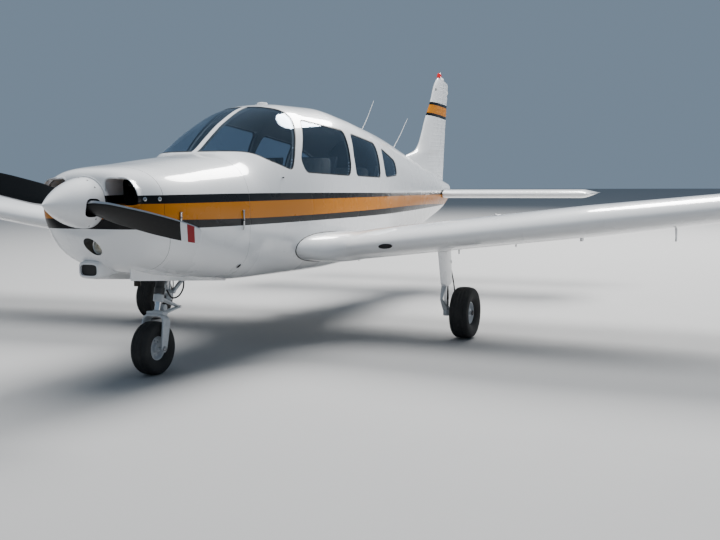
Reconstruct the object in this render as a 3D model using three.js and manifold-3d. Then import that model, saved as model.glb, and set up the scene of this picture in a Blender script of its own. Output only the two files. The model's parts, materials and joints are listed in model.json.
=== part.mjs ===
// Light aircraft: a low-wing, four-seat, single-engined monoplane on a retractable tricycle gear, shown
// extended. Millimetres. +X is the left wing, -Y the nose, +Z up, and the ground is Z = 0.
// Lengths along the aircraft are stations, counted aft from the tip of the spinner.
import * as THREE from 'three';
import { mergeVertices } from 'three/addons/utils/BufferGeometryUtils.js';
import Module from 'manifold-3d';

const wasm = await Module();
wasm.setup();

// Driving dimensions
const LENGTH = 7500;
const HALF_SPAN = 5400;
const GAP = 0.3;
const CLEAR = 6;
const PIN = { radius: 6, reach: 16 };
const BODY_POINTS = 28;
const ROUND = 20;
const BLADE_POINTS = 10;
const FAR = 3000;

// Panels
const SKIN = 30;
const COWL_SKIN = 20;
const CONE_SKIN = 20;
const GLASS_DEPTH = 8;
const GLASS = 6;
const BOWL_FRONT = 405;
const BOWL_SEAM = 590;
const BOWL_SEAM_LOW = 745;
const COWL_END = 1520;
const FIREWALL = 1600;
const SILL = 1330;
const COWL_SPLIT = 1180;
const CABIN_END = 4750;
const CONE_END = 7360;

// Propeller and engine
const SHAFT_Z = 1253;
const SPINNER = { tip: 0, base: 395, radius: 165, wall: 4 };
const HUB_STATION = 300;
const PROP_RADIUS = 965;
const BLADE_ANGLE = -11.4;
const ENGINE = { x: 330, front: 660, back: 1400, low: 950, high: 1360 };
const EXHAUST = { x: -190, station: 1160, radius: 24, low: 620 };
const LAMP = { z: 965, radius: 60, front: 520, back: 575 };

// Undercarriage
const NOSE_GEAR = { station: 1068, radius: 192, width: 136, rim: 86, rake: 13.5 };
const MAIN_GEAR = { x: 1607, station: 3298, radius: 220, width: 160, rim: 94 };
const AXLE = { nose: 12, main: 17, running: 0.6 };
const WELL = { x: 150, front: 810, back: 1840 };
const COLLAR = { low: 526, high: 576, radius: 38 };
const FORK = { leg: 88, thick: 22, crown: 420, top: 456, piston: 21 };
const LEG = { x: 1440, station: 3298, top: 860, radius: 34 };

// Cabin floor and seats
const FLOOR = { low: 800, high: 825 };
const SEAT_X = 270;

// Hinges of the doors and the tail
const CABIN_DOOR_LINE = { x: -590, station: 2243, z: 1050, lean: 0.065, heights: [1030, 1285] };
const BAGGAGE_DOOR_LINE = { x: -552, station: 4017, z: 1050, lean: 0, heights: [1010, 1230] };
const KNUCKLE = { radius: 7, length: 30, leaf: 5 };
const STABILATOR_HINGE = { station: 6930, z: 1133 };
const RUDDER_HINGE = { low: [1368, 7063], high: [2545, 7285] };
const TAB_STATION = 7385;
const TORQUE_TUBE = 26;

// Fuselage sections: station, half width, top, bottom, height of the waist, roundness above and below
const BODY = [
  [405, 290, 1412, 1040, 1235, 2.5, 2.2],
  [425, 362, 1450, 1000, 1230, 2.6, 2.3],
  [480, 414, 1472, 938, 1220, 2.7, 2.5],
  [600, 480, 1487, 820, 1200, 2.8, 2.5],
  [850, 524, 1506, 747, 1180, 2.8, 2.6],
  [1200, 546, 1538, 694, 1160, 2.9, 3.0],
  [1600, 560, 1577, 638, 1150, 2.9, 3.6],
  [1667, 560, 1597, 626, 1150, 2.9, 3.6],
  [1850, 560, 1708, 612, 1150, 2.9, 3.6],
  [2050, 561, 1826, 603, 1150, 2.9, 3.6],
  [2430, 561, 1971, 588, 1150, 2.9, 3.6],
  [2700, 561, 2001, 578, 1150, 2.9, 3.6],
  [3200, 560, 2003, 566, 1150, 2.9, 3.6],
  [3700, 552, 1948, 572, 1150, 2.9, 3.6],
  [4100, 535, 1890, 590, 1150, 2.8, 3.5],
  [4400, 505, 1850, 614, 1150, 2.7, 3.3],
  [4750, 462, 1794, 646, 1155, 2.6, 3.0],
  [5400, 375, 1668, 697, 1165, 2.4, 2.6],
  [6000, 288, 1541, 743, 1170, 2.3, 2.4],
  [6600, 200, 1414, 841, 1170, 2.2, 2.2],
  [7100, 120, 1308, 945, 1170, 2.2, 2.2],
  [7360, 75, 1259, 1045, 1170, 2.2, 2.2],
];

// Wing sections: x, nose station and height, tail station and height, thickness, camber
const WING = [
  [120, 2231, 826, 4280, 722, 248, 2],
  [560, 2261, 826, 4280, 722, 248, 2],
  [680, 2448, 804, 4280, 723, 262, 18],
  [800, 2634, 816, 4280, 725, 257, 19],
  [2700, 2654, 1033, 4280, 942, 253, 19],
  [5250, 2956, 1311, 4083, 1238, 166, 16],
  [5390, 3044, 1329, 4070, 1258, 60, 6],
  [HALF_SPAN, 3104, 1329, 4050, 1262, 14, 0],
];

// Stabilator sections, in the same columns
const STABILATOR = [
  [0, 6730, 1133, LENGTH, 1133, 104, 0],
  [1850, 6730, 1133, LENGTH, 1133, 98, 0],
  [1920, 6750, 1133, LENGTH - 4, 1133, 66, 0],
  [1960, 6830, 1133, LENGTH - 20, 1133, 10, 0],
];

// Fin sections: height, nose and tail station, thickness
const FIN = [
  [1200, 5900, 7262, 94],
  [1580, 5960, 7318, 92],
  [1620, 6100, 7324, 90],
  [1660, 6300, 7330, 90],
  [1740, 6435, 7344, 88],
  [1850, 6525, 7362, 84],
  [2050, 6665, 7398, 78],
  [2285, 6862, 7446, 68],
  [2445, 6960, 7476, 58],
  [2520, 7030, 7488, 52],
  [2565, 7095, 7492, 40],
  [2582, 7150, 7492, 12],
];

// Blade sections: radius, chord, thickness, pitch in degrees
const BLADE = [
  [60, 80, 66, 40],
  [120, 104, 54, 39],
  [190, 136, 38, 35],
  [330, 156, 27, 29],
  [535, 156, 19, 24],
  [740, 142, 13, 19],
  [893, 118, 9, 16],
  [949, 96, 7, 15],
  [PROP_RADIUS, 62, 5, 15],
];

// Chord fractions of an aerofoil's points
const CHORD_STEPS = [0, 0.015, 0.07, 0.18, 0.36, 0.6, 0.82, 1];
const TAIL_EDGE = 2;

// Outlines in side view: station, height
const WINDSCREEN = [
  [1500, 1600], [1772, 1587], [1885, 1526], [2100, 1468], [2205, 1444], [2252, 1500], [2316, 1612],
  [2412, 1745], [2480, 1839], [2505, 1900], [2485, 1948], [2420, 1966], [2400, 2100], [1500, 2100],
];
const WINDOW_1 = [[2432, 1424], [3272, 1388], [3316, 1475], [3344, 1797], [2600, 1867], [2360, 1530]];
const WINDOW_2 = [[3406, 1386], [4008, 1364], [4058, 1700], [3468, 1778], [3396, 1581]];
const WINDOW_3 = [[4150, 1364], [4572, 1378], [4592, 1530], [4205, 1660], [4140, 1519]];
const CABIN_DOOR = [
  [2250, 980], [3370, 980], [3374, 1320], [3374, 1885], [2560, 1918], [2345, 1610], [2250, 1450],
];
const BAGGAGE_DOOR = [[4020, 930], [4520, 930], [4520, 1310], [4020, 1310]];
const POST = 22;
const WINDOW_ROUND = 55;

// Materials
const finish = (color, roughness, metalness) => ({ color, roughness, metalness });
const WHITE = finish(0xf2f3f2, 0.25, 0.0);
const GLASS_TINT = finish(0x5a6a72, 0.05, 0.0);
const ALLOY = finish(0xb9bcbe, 0.35, 0.9);
const GREY = finish(0xc9ccd0, 0.4, 0.1);
const BLACK = finish(0x1a1a1b, 0.6, 0.0);
const RUBBER = finish(0x18181a, 0.9, 0.0);
const CLOTH = finish(0x8a8478, 0.9, 0.0);
const TRIM = finish(0x3a3b3d, 0.7, 0.0);
const CAST = finish(0x77797c, 0.6, 0.6);
const RED = finish(0xb01818, 0.2, 0.0);

const aircraft = new THREE.Group();
const airframe = new THREE.Group();
airframe.position.y = -LENGTH / 2;
aircraft.add(airframe);

// Meshes and solids
function signedVolume(geometry) {
  const p = geometry.getAttribute('position');
  const index = geometry.getIndex();
  const [a, b, c] = [new THREE.Vector3(), new THREE.Vector3(), new THREE.Vector3()];
  let volume = 0;
  for (let i = 0; i < index.count; i += 3) {
    a.fromBufferAttribute(p, index.getX(i));
    b.fromBufferAttribute(p, index.getX(i + 1));
    c.fromBufferAttribute(p, index.getX(i + 2));
    volume += a.dot(b.cross(c)) / 6;
  }
  return volume;
}

function outward(geometry) {
  const bare = new THREE.BufferGeometry();
  bare.setAttribute('position', geometry.getAttribute('position').clone());
  if (geometry.getIndex()) bare.setIndex(geometry.getIndex().clone());
  const merged = mergeVertices(bare, 1e-3);
  if (signedVolume(merged) < 0) {
    const index = merged.getIndex();
    for (let i = 0; i < index.count; i += 3) {
      const second = index.getX(i + 1);
      index.setX(i + 1, index.getX(i + 2));
      index.setX(i + 2, second);
    }
  }
  return merged;
}

function solid(geometry) {
  const closed = outward(geometry);
  return new wasm.Manifold(new wasm.Mesh({
    numProp: 3,
    vertProperties: new Float32Array(closed.getAttribute('position').array),
    triVerts: new Uint32Array(closed.getIndex().array),
  }));
}

function surface(body) {
  const mesh = body.getMesh();
  const geometry = new THREE.BufferGeometry();
  geometry.setAttribute('position', new THREE.BufferAttribute(new Float32Array(mesh.vertProperties), 3));
  geometry.setIndex(new THREE.BufferAttribute(new Uint32Array(mesh.triVerts), 1));
  return geometry;
}

function place(name, body, look) {
  const material = new THREE.MeshStandardMaterial(look);
  const mesh = new THREE.Mesh(surface(body), material);
  mesh.name = name;
  airframe.add(mesh);
}

function mirrored(body) {
  return solid(surface(body).applyMatrix4(new THREE.Matrix4().makeScale(-1, 1, 1)));
}

function placePair(name, left, look) {
  place(`${name}_left`, left, look);
  place(`${name}_right`, mirrored(left), look);
}

const union = (...bodies) => bodies.reduce((sum, body) => sum.add(body));

// Basic shapes
function capFaces(ring, offset, reverse) {
  const lo = new THREE.Vector3(Infinity, Infinity, Infinity);
  const hi = lo.clone().negate();
  ring.forEach((p) => { lo.min(p); hi.max(p); });
  const size = hi.sub(lo);
  const thin = ['x', 'y', 'z'].reduce((a, b) => (size[b] < size[a] ? b : a));
  const [u, v] = ['x', 'y', 'z'].filter((axis) => axis !== thin);
  const flat = ring.map((p) => new THREE.Vector2(p[u], p[v]));
  const turn = Math.sign(THREE.ShapeUtils.area(flat));
  return THREE.ShapeUtils.triangulateShape(flat, []).flatMap((face) => {
    const same = Math.sign(THREE.ShapeUtils.area(face.map((k) => flat[k]))) === turn;
    const [a, b, c] = face.map((k) => k + offset);
    return same !== reverse ? [a, b, c] : [a, c, b];
  });
}

// A skin over rings of equal counts, capped at both ends. Its facets left and right are mirror images.
function loft(rings) {
  const count = rings[0].length;
  const index = [];
  for (let i = 0; i + 1 < rings.length; i++) {
    for (let k = 0; k < count; k++) {
      const next = (k + 1) % count;
      const [a, b] = [i * count + k, i * count + next];
      if (rings[i][k].x + rings[i][next].x >= 0) index.push(a, b, b + count, a, b + count, a + count);
      else index.push(a, b, a + count, b, b + count, a + count);
    }
  }
  index.push(...capFaces(rings[0], 0, true));
  index.push(...capFaces(rings.at(-1), (rings.length - 1) * count, false));
  const geometry = new THREE.BufferGeometry().setFromPoints(rings.flat());
  geometry.setIndex(index);
  return solid(geometry);
}

function rod(from, to, radius, endRadius = radius, sides = 8) {
  const [a, b] = [new THREE.Vector3(...from), new THREE.Vector3(...to)];
  const axis = b.clone().sub(a);
  const geometry = new THREE.CylinderGeometry(endRadius, radius, axis.length(), sides);
  const turn = new THREE.Quaternion().setFromUnitVectors(new THREE.Vector3(0, 1, 0), axis.normalize());
  geometry.applyQuaternion(turn);
  geometry.translate(...a.add(b).multiplyScalar(0.5).toArray());
  return solid(geometry);
}

// Radius of a hole of so many sides whose flats clear a pin that turns in it
const holeRadius = (pin, sides) => (pin + GAP) / Math.cos(Math.PI / sides);

function block([x0, y0, z0], [x1, y1, z1]) {
  const geometry = new THREE.BoxGeometry(x1 - x0, y1 - y0, z1 - z0);
  geometry.translate((x0 + x1) / 2, (y0 + y1) / 2, (z0 + z1) / 2);
  return solid(geometry);
}

function roundedShape(points, radius) {
  const shape = new THREE.Shape();
  const corners = points.map(([x, y]) => new THREE.Vector2(x, y));
  corners.forEach((corner, k) => {
    const before = corners.at(k - 1);
    const after = corners[(k + 1) % corners.length];
    const reach = (other) => Math.min(radius, corner.distanceTo(other) / 2.2);
    const start = corner.clone().add(before.clone().sub(corner).setLength(reach(before)));
    const end = corner.clone().add(after.clone().sub(corner).setLength(reach(after)));
    if (k === 0) shape.moveTo(start.x, start.y);
    else shape.lineTo(start.x, start.y);
    if (radius > 0) shape.quadraticCurveTo(corner.x, corner.y, end.x, end.y);
  });
  return shape;
}

function prism(shape, depth, right, up, origin) {
  const geometry = new THREE.ExtrudeGeometry(shape, { depth, bevelEnabled: false, curveSegments: 2 });
  const along = right.clone().cross(up);
  geometry.applyMatrix4(new THREE.Matrix4().makeBasis(right, up, along));
  geometry.translate(...origin);
  return solid(geometry);
}

const X = new THREE.Vector3(1, 0, 0);
const Y = new THREE.Vector3(0, 1, 0);
const Z = new THREE.Vector3(0, 0, 1);

const sidePrism = (points, from, to, radius = 0) =>
  prism(roundedShape(points, radius), to - from, Y, Z, [from, 0, 0]);
const frontPrism = (points, from, to, radius = 0) =>
  prism(roundedShape(points, radius), to - from, X, Z, [0, to, 0]);

// An outline moved outwards by a distance (inwards where it is negative)
function grown(points, distance) {
  const turn = Math.sign(THREE.ShapeUtils.area(points.map(([x, y]) => new THREE.Vector2(x, y))));
  return points.map((point, k) => {
    const here = new THREE.Vector2(...point);
    const into = here.clone().sub(new THREE.Vector2(...points.at(k - 1))).normalize();
    const out = new THREE.Vector2(...points[(k + 1) % points.length]).sub(here).normalize();
    const normalIn = new THREE.Vector2(into.y, -into.x).multiplyScalar(turn);
    const normalOut = new THREE.Vector2(out.y, -out.x).multiplyScalar(turn);
    const middle = normalIn.clone().add(normalOut).normalize();
    return here.add(middle.multiplyScalar(distance / middle.dot(normalIn))).toArray();
  });
}

// A closed ring of revolution about the X axis through a point: profile of radius, x
function revolve(profile, station, height, segments) {
  const points = profile.map(([radius, x]) => new THREE.Vector2(radius, x));
  points.push(points[0].clone());
  const geometry = new THREE.LatheGeometry(points, segments);
  geometry.rotateZ(-Math.PI / 2);
  geometry.rotateX(-Math.PI / 2);
  geometry.translate(0, station, height);
  return solid(geometry);
}

// Fuselage
function between(table, value) {
  const last = table.length - 1;
  if (value <= table[0][0]) return [value, ...table[0].slice(1)];
  if (value >= table[last][0]) return [value, ...table[last].slice(1)];
  const k = table.findIndex((row) => row[0] > value) - 1;
  const t = (value - table[k][0]) / (table[k + 1][0] - table[k][0]);
  return table[k].map((low, column) => low + (table[k + 1][column] - low) * t);
}

function bodyRing(station, inset) {
  const [, width, top, bottom, waist, upper, lower] = between(BODY, station);
  return Array.from({ length: BODY_POINTS }, (_, k) => {
    const angle = (2 * Math.PI * k) / BODY_POINTS;
    const [c, s] = [Math.cos(angle), Math.sin(angle)];
    const power = 2 / (s >= 0 ? upper : lower);
    const height = (s >= 0 ? top - waist : waist - bottom) - inset;
    return new THREE.Vector3(
      (width - inset) * Math.sign(c) * Math.abs(c) ** power,
      station,
      waist + height * Math.sign(s) * Math.abs(s) ** power,
    );
  });
}

function bodySolid(from, to, inset = 0) {
  const inner = BODY.map((row) => row[0]).filter((station) => station > from && station < to);
  return loft([from, ...inner, to].map((station) => bodyRing(station, inset)));
}

const above = (height) => block([-FAR, -FAR, height], [FAR, LENGTH + FAR, height + FAR]);
const below = (height) => block([-FAR, -FAR, height - FAR], [FAR, LENGTH + FAR, height]);

// Aerofoils
function foilRing([span, noseAt, noseUp, tailAt, tailUp, thickness, camber], put) {
  const chord = tailAt - noseAt;
  const point = (t, side) => {
    const even = 1.4845 * Math.sqrt(t) - 0.63 * t - 1.758 * t ** 2 + 1.4215 * t ** 3 - 0.518 * t ** 4;
    const half = Math.max(thickness * even, 0) + TAIL_EDGE * t;
    const line = noseUp + (tailUp - noseUp) * t + camber * 4 * t * (1 - t);
    return put(span, noseAt + chord * t, line + side * half);
  };
  const upper = CHORD_STEPS.map((t) => point(t, 1)).reverse();
  const lower = CHORD_STEPS.slice(1).map((t) => point(t, -1));
  return [...upper, ...lower];
}

// Middle height and half thickness of a foil at a station
function foilAt(row, station) {
  const [, noseAt, noseUp, tailAt, tailUp, thickness, camber] = row;
  const t = (station - noseAt) / (tailAt - noseAt);
  const even = 1.4845 * Math.sqrt(t) - 0.63 * t - 1.758 * t ** 2 + 1.4215 * t ** 3 - 0.518 * t ** 4;
  return {
    middle: noseUp + (tailUp - noseUp) * t + camber * 4 * t * (1 - t),
    half: thickness * even + TAIL_EDGE * t,
  };
}

// Parts a trailing surface from its parent along a hinge line that ends at a and b. The surface turns on
// a pin at each end, which runs in a hole in the parent.
function hinged(parent, a, b, halfA, halfB, depth) {
  const [from, to] = [new THREE.Vector3(...a), new THREE.Vector3(...b)];
  const u = to.clone().sub(from);
  const length = u.length();
  u.normalize();
  const v = Y.clone().addScaledVector(u, -Y.dot(u)).normalize();
  const w = u.clone().cross(v);
  const box = (start, end, front) => {
    const geometry = new THREE.BoxGeometry(end - start, depth - front, depth);
    geometry.translate((start + end) / 2, (depth + front) / 2, 0);
    geometry.applyMatrix4(new THREE.Matrix4().makeBasis(u, v, w).setPosition(from));
    return solid(geometry);
  };
  const noseShare = 0.96;
  const cove = rod(
    from.clone().addScaledVector(u, -CLEAR).toArray(), to.clone().addScaledVector(u, CLEAR).toArray(),
    halfA + CLEAR, halfB + CLEAR, 16);
  const nose = rod(a, b, halfA * noseShare, halfB * noseShare, 16);
  const at = (distance) => from.clone().addScaledVector(u, distance).toArray();
  const radius = Math.min(PIN.radius, halfA / 2, halfB / 2);
  const pin = rod(at(-PIN.reach), at(length + PIN.reach), radius);
  const pinHole = rod(at(-PIN.reach - 1), at(length + PIN.reach + 1), holeRadius(radius, 8));
  return {
    fixed: parent.subtract(box(-CLEAR, length + CLEAR, 0)).subtract(cove).subtract(pinHole),
    moving: parent.intersect(box(0, length, 0)).add(nose.intersect(parent)).add(pin),
  };
}

// Powerplant
function noseBowl() {
  const shell = bodySolid(BOWL_FRONT, 850).subtract(bodySolid(430, 900, COWL_SKIN));
  const region = sidePrism([
    [300, 600], [BOWL_SEAM_LOW, 600], [BOWL_SEAM_LOW, 800], [BOWL_SEAM, COWL_SPLIT], [BOWL_SEAM, 1700],
    [300, 1700],
  ], -FAR, FAR);
  const inlet = (side) => frontPrism([
    [side * 150, 1228], [side * 392, 1228], [side * 396, 1318], [side * 326, 1408], [side * 150, 1416],
  ], 300, 900, 36);
  const shaftHole = rod([0, 300, SHAFT_Z], [0, 500, SHAFT_Z], 75, 75, 16);
  const lamp = rod([0, 300, LAMP.z], [0, 800, LAMP.z], LAMP.radius + GAP, LAMP.radius + GAP, 16);
  return [inlet(1), inlet(-1), shaftHole, lamp].reduce(
    (rest, cut) => rest.subtract(cut), shell.intersect(region));
}

function cowlShell() {
  return bodySolid(450, COWL_END - GAP).subtract(bodySolid(400, COWL_END + 100, COWL_SKIN));
}

const bowlKeepOut = () => sidePrism([
  [200, 500], [BOWL_SEAM_LOW + GAP, 500], [BOWL_SEAM_LOW + GAP, 800], [BOWL_SEAM + GAP, COWL_SPLIT],
  [BOWL_SEAM + GAP, 1800], [200, 1800],
], -FAR, FAR);

// The scoop is wide at its mouth and narrow beside the nose wheel's door
function scoop() {
  const duct = ([from, to, side]) =>
    frontPrism([[side, 740], [-14, 740], [-14, 900], [side, 900]], from, to, 36);
  const profile = sidePrism(
    [[525, 758], [550, 740], [640, 740], [800, 752], [800, 900], [525, 900]], -200, 0);
  const box = union(duct([525, 632, -182]), duct([525, 800, -146])).intersect(profile);
  const mouth = frontPrism([[-168, 756], [-28, 756], [-28, 836], [-168, 836]], 500, 620, 26);
  const body = bodySolid(420, BOWL_SEAM_LOW, -GAP).add(bodySolid(600, 900, COWL_SKIN / 2));
  return box.subtract(body).subtract(mouth);
}

const wellSlot = () => block([-WELL.x, WELL.front, 500], [WELL.x, WELL.back, FLOOR.low]);

function cowlLower() {
  const exhaustHole = rod([EXHAUST.x, EXHAUST.station, 500], [EXHAUST.x, EXHAUST.station, 900], 34);
  const panel = cowlShell().intersect(below(COWL_SPLIT - GAP)).subtract(bowlKeepOut());
  return panel.subtract(wellSlot()).subtract(exhaustHole).add(scoop());
}

function engine() {
  const core = block([-ENGINE.x, ENGINE.front, ENGINE.low], [ENGINE.x, ENGINE.back, ENGINE.high]);
  const { x, station, radius, low } = EXHAUST;
  return core.add(rod([x, station, low], [x, station, ENGINE.low + 20], radius));
}

function firewall() {
  const plate = bodySolid(FIREWALL + 6, FIREWALL + 26, SKIN + GAP);
  const bearers = [[-250, 1000], [250, 1000], [-250, 1310], [250, 1310]].map(([x, z]) =>
    rod([x, ENGINE.back + GAP, z], [x, FIREWALL + 15, z], 16));
  const notch = block([-WELL.x - 20, FIREWALL - 50, 500], [WELL.x + 20, FIREWALL + 50, FLOOR.low + 10]);
  return union(plate.subtract(notch), ...bearers);
}

function blade() {
  const rings = BLADE.map(([radius, chord, thickness, pitch]) =>
    Array.from({ length: BLADE_POINTS }, (_, k) => {
      const angle = (2 * Math.PI * k) / BLADE_POINTS;
      const along = (chord / 2) * Math.cos(angle);
      const across = (thickness / 2) * Math.sin(angle);
      const turn = THREE.MathUtils.degToRad(pitch);
      return new THREE.Vector3(
        radius,
        -along * Math.sin(turn) + across * Math.cos(turn),
        along * Math.cos(turn) + across * Math.sin(turn),
      );
    }));
  return surface(loft(rings));
}

const turnedProp = (geometry, degrees) => solid(geometry.clone()
  .rotateY(-THREE.MathUtils.degToRad(degrees)).translate(0, HUB_STATION, SHAFT_Z));

function propeller() {
  const blades = [BLADE_ANGLE, BLADE_ANGLE + 180].map((angle) => turnedProp(blade(), angle));
  const hub = rod([0, HUB_STATION - 60, SHAFT_Z], [0, HUB_STATION + 60, SHAFT_Z], 72, 72, 16);
  const backplate = spinnerSolid(SPINNER.wall + GAP, SPINNER.base).intersect(
    block([-200, 378, 1000], [200, 388, 1500]));
  const shaft = rod([0, HUB_STATION, SHAFT_Z], [0, ENGINE.front - GAP, SHAFT_Z], 46, 46, 16);
  return union(hub, backplate, shaft, ...blades);
}

function spinnerSolid(shrink, base) {
  const steps = 7;
  const length = SPINNER.base - SPINNER.tip;
  const profile = Array.from({ length: steps }, (_, k) => {
    const t = k / (steps - 1);
    const radius = (SPINNER.radius - shrink) * (1 - (1 - t) ** 1.85);
    return new THREE.Vector2(radius, -(SPINNER.tip + shrink * 1.5 + (length - shrink * 1.5) * t));
  });
  profile.push(new THREE.Vector2(SPINNER.radius - shrink, -base), new THREE.Vector2(0, -base));
  const geometry = new THREE.LatheGeometry(profile, ROUND);
  geometry.rotateX(Math.PI);
  return solid(geometry.translate(0, 0, SHAFT_Z));
}

function spinner() {
  const shell = spinnerSolid(0, SPINNER.base + 0.1).subtract(spinnerSolid(SPINNER.wall, SPINNER.base + 60));
  const slot = (angle) => turnedProp(new THREE.BoxGeometry(140, 124, 128).translate(125, 4, 0), angle);
  return shell.subtract(slot(BLADE_ANGLE)).subtract(slot(BLADE_ANGLE + 180));
}

// Knuckles of a door's hinge, the lower of each pair on the airframe
function knuckles({ x, station, z, lean, heights }, moving) {
  const on = (height) => [x + lean * (height - z), station, height];
  return heights.map((height) => {
    const [start, end] = moving ? [GAP, KNUCKLE.length] : [-KNUCKLE.length, 0];
    const middle = on(height + (start + end) / 2);
    const root = [middle[0] + 40, station + (moving ? 32 : -32), middle[2]];
    return rod(on(height + start), on(height + end), KNUCKLE.radius).add(rod(middle, root, KNUCKLE.leaf));
  });
}

// Cabin
const cabinShell = () => bodySolid(COWL_END + GAP, CABIN_END - GAP)
  .subtract(bodySolid(COWL_END - 100, CABIN_END + 100, SKIN));
const onLeft = (outline, radius) => sidePrism(outline, POST, FAR, radius);
const onRight = (outline, radius) => sidePrism(outline, -FAR, -POST, radius);
const glassLayer = () => bodySolid(FIREWALL + GAP, CABIN_END - GAP, GLASS_DEPTH)
  .subtract(bodySolid(FIREWALL - 100, CABIN_END + 100, GLASS_DEPTH + GLASS));

function cabinUpper() {
  let shell = cabinShell().intersect(above(SILL));
  for (const outline of [WINDSCREEN, WINDOW_2, WINDOW_3]) {
    shell = shell.subtract(onLeft(outline, WINDOW_ROUND)).subtract(onRight(outline, WINDOW_ROUND));
  }
  return shell.subtract(onLeft(WINDOW_1, WINDOW_ROUND)).subtract(onRight(grown(CABIN_DOOR, CLEAR), 60));
}

function cabinLower() {
  return cabinShell().intersect(below(SILL - GAP))
    .subtract(onRight(grown(CABIN_DOOR, CLEAR), 60))
    .subtract(onRight(grown(BAGGAGE_DOOR, CLEAR), 60))
    .subtract(wellSlot())
    .add(union(...knuckles(CABIN_DOOR_LINE, false), ...knuckles(BAGGAGE_DOOR_LINE, false)));
}

function cabinDoor() {
  const skin = cabinShell().intersect(onRight(CABIN_DOOR, 60)).subtract(onRight(WINDOW_1, WINDOW_ROUND));
  return union(skin, ...knuckles(CABIN_DOOR_LINE, true));
}

function baggageDoor() {
  return union(cabinShell().intersect(onRight(BAGGAGE_DOOR, 60)), ...knuckles(BAGGAGE_DOOR_LINE, true));
}

const pane = (outline, half) => glassLayer().intersect(half(grown(outline, -GAP), WINDOW_ROUND));

function cabinFloor() {
  const inside = bodySolid(FIREWALL + 40, CABIN_END - 20, SKIN + GAP);
  const floor = block([-FAR, FIREWALL + 50, FLOOR.low], [FAR, CABIN_END - 40, FLOOR.high]);
  const bulkhead = block([-FAR, CABIN_END - 60, 0], [FAR, CABIN_END - 35, FAR]);
  const seats = [SEAT_X, -SEAT_X].flatMap((x) => [
    block([x - 190, 2560, FLOOR.low + 10], [x + 190, 2960, 1010]),
    sidePrism([[2960, 960], [3040, 960], [3190, 1560], [3150, 1560]], x - 200, x + 200),
    block([x - 190, 2900, 960], [x + 190, 3040, 1010]),
  ]);
  const bench = block([-400, 3560, FLOOR.low + 10], [400, 3960, 970]);
  const benchBack = sidePrism([[3950, FLOOR.low + 10], [4000, FLOOR.low + 10], [4160, 1480],
    [4120, 1480], [3950, 930]], -430, 430);
  return union(floor, bulkhead, ...seats, bench, benchBack).intersect(inside);
}

function seatPads(x) {
  const cushion = sidePrism([[2540, 1010 + GAP], [2960, 1010 + GAP], [2980, 1110], [2560, 1130]],
    x - 215, x + 215, 24);
  const back = sidePrism([[2900, 1010 + GAP], [2971, 1010 + GAP], [3108, 1556], [3040, 1590],
    [2890, 1130]], x - 210, x + 210, 20);
  return cushion.add(back);
}

function benchPads() {
  const cushion = sidePrism([[3540, 970 + GAP], [3940, 970 + GAP], [3950, 1080], [3560, 1100]],
    -420, 420, 24);
  const back = sidePrism([[3870, 970 + GAP], [3949, 970 + GAP], [4100, 1470], [4020, 1500],
    [3860, 1090]], -420, 420, 20);
  return cushion.add(back);
}

function instrumentPanel() {
  const inside = bodySolid(FIREWALL + 40, 2400, SKIN + GAP);
  const panel = block([-FAR, 2030, 1120], [FAR, 2090, 1470]);
  const cover = block([-FAR, 1760, 1440], [FAR, 2120, 1475]);
  const yokes = [SEAT_X, -SEAT_X].flatMap((x) => [
    rod([x, 2080, 1270], [x, 2260, 1270], 13),
    block([x - 110, 2245, 1258], [x + 110, 2270, 1284]),
    block([x - 124, 2240, 1258], [x - 98, 2275, 1360]),
    block([x + 98, 2240, 1258], [x + 124, 2275, 1360]),
  ]);
  return union(panel.intersect(inside), cover.intersect(inside), ...yokes);
}

function tailCone() {
  const shell = bodySolid(CABIN_END + GAP, CONE_END)
    .subtract(bodySolid(CABIN_END - 100, CONE_END - CONE_SKIN, CONE_SKIN));
  const { station, z } = STABILATOR_HINGE;
  const bore = holeRadius(TORQUE_TUBE, 16);
  const hole = rod([-400, station, z], [400, station, z], bore, bore, 16);
  const tieDown = block([-14, 6790, 855], [14, 6870, 930]);
  return shell.subtract(hole).add(tieDown);
}

// Wings
const wingPut = (x, station, height) => new THREE.Vector3(x, station, height);

function wingHinge(table, x, station) {
  const { middle, half } = foilAt(between(table, x), station);
  return { at: [x, station, middle], half };
}

function wing() {
  const slab = loft(WING.map((row) => foilRing(row, wingPut)));
  const root = slab.subtract(bodySolid(1900, 4700, -GAP));
  // The flap's hinge runs straight along the plain part of the wing and on towards the root
  const [flapMid, flapOut] = [wingHinge(WING, 800, 3960), wingHinge(WING, 2680, 3960)];
  const carry = (here, there) => here + (there - here) * (662 - 800) / (2680 - 800);
  const flapIn = {
    at: flapMid.at.map((value, k) => carry(value, flapOut.at[k])), half: carry(flapMid.half, flapOut.half),
  };
  const [aileronIn, aileronOut] = [wingHinge(WING, 2720, 3960), wingHinge(WING, 5200, 3846)];
  const first = hinged(root, flapIn.at, flapOut.at, flapIn.half, flapOut.half, 700);
  const second = hinged(first.fixed, aileronIn.at, aileronOut.at, aileronIn.half, aileronOut.half, 700);
  const tieDown = block([2590, 3180, 856], [2630, 3260, 980]);
  const bay = block([LEG.x - 60, LEG.station - 60, 500], [LEG.x + 60, LEG.station + 60, LEG.top]);
  return {
    main: second.fixed.add(tieDown).subtract(bay),
    flap: first.moving,
    aileron: second.moving,
  };
}

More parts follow.
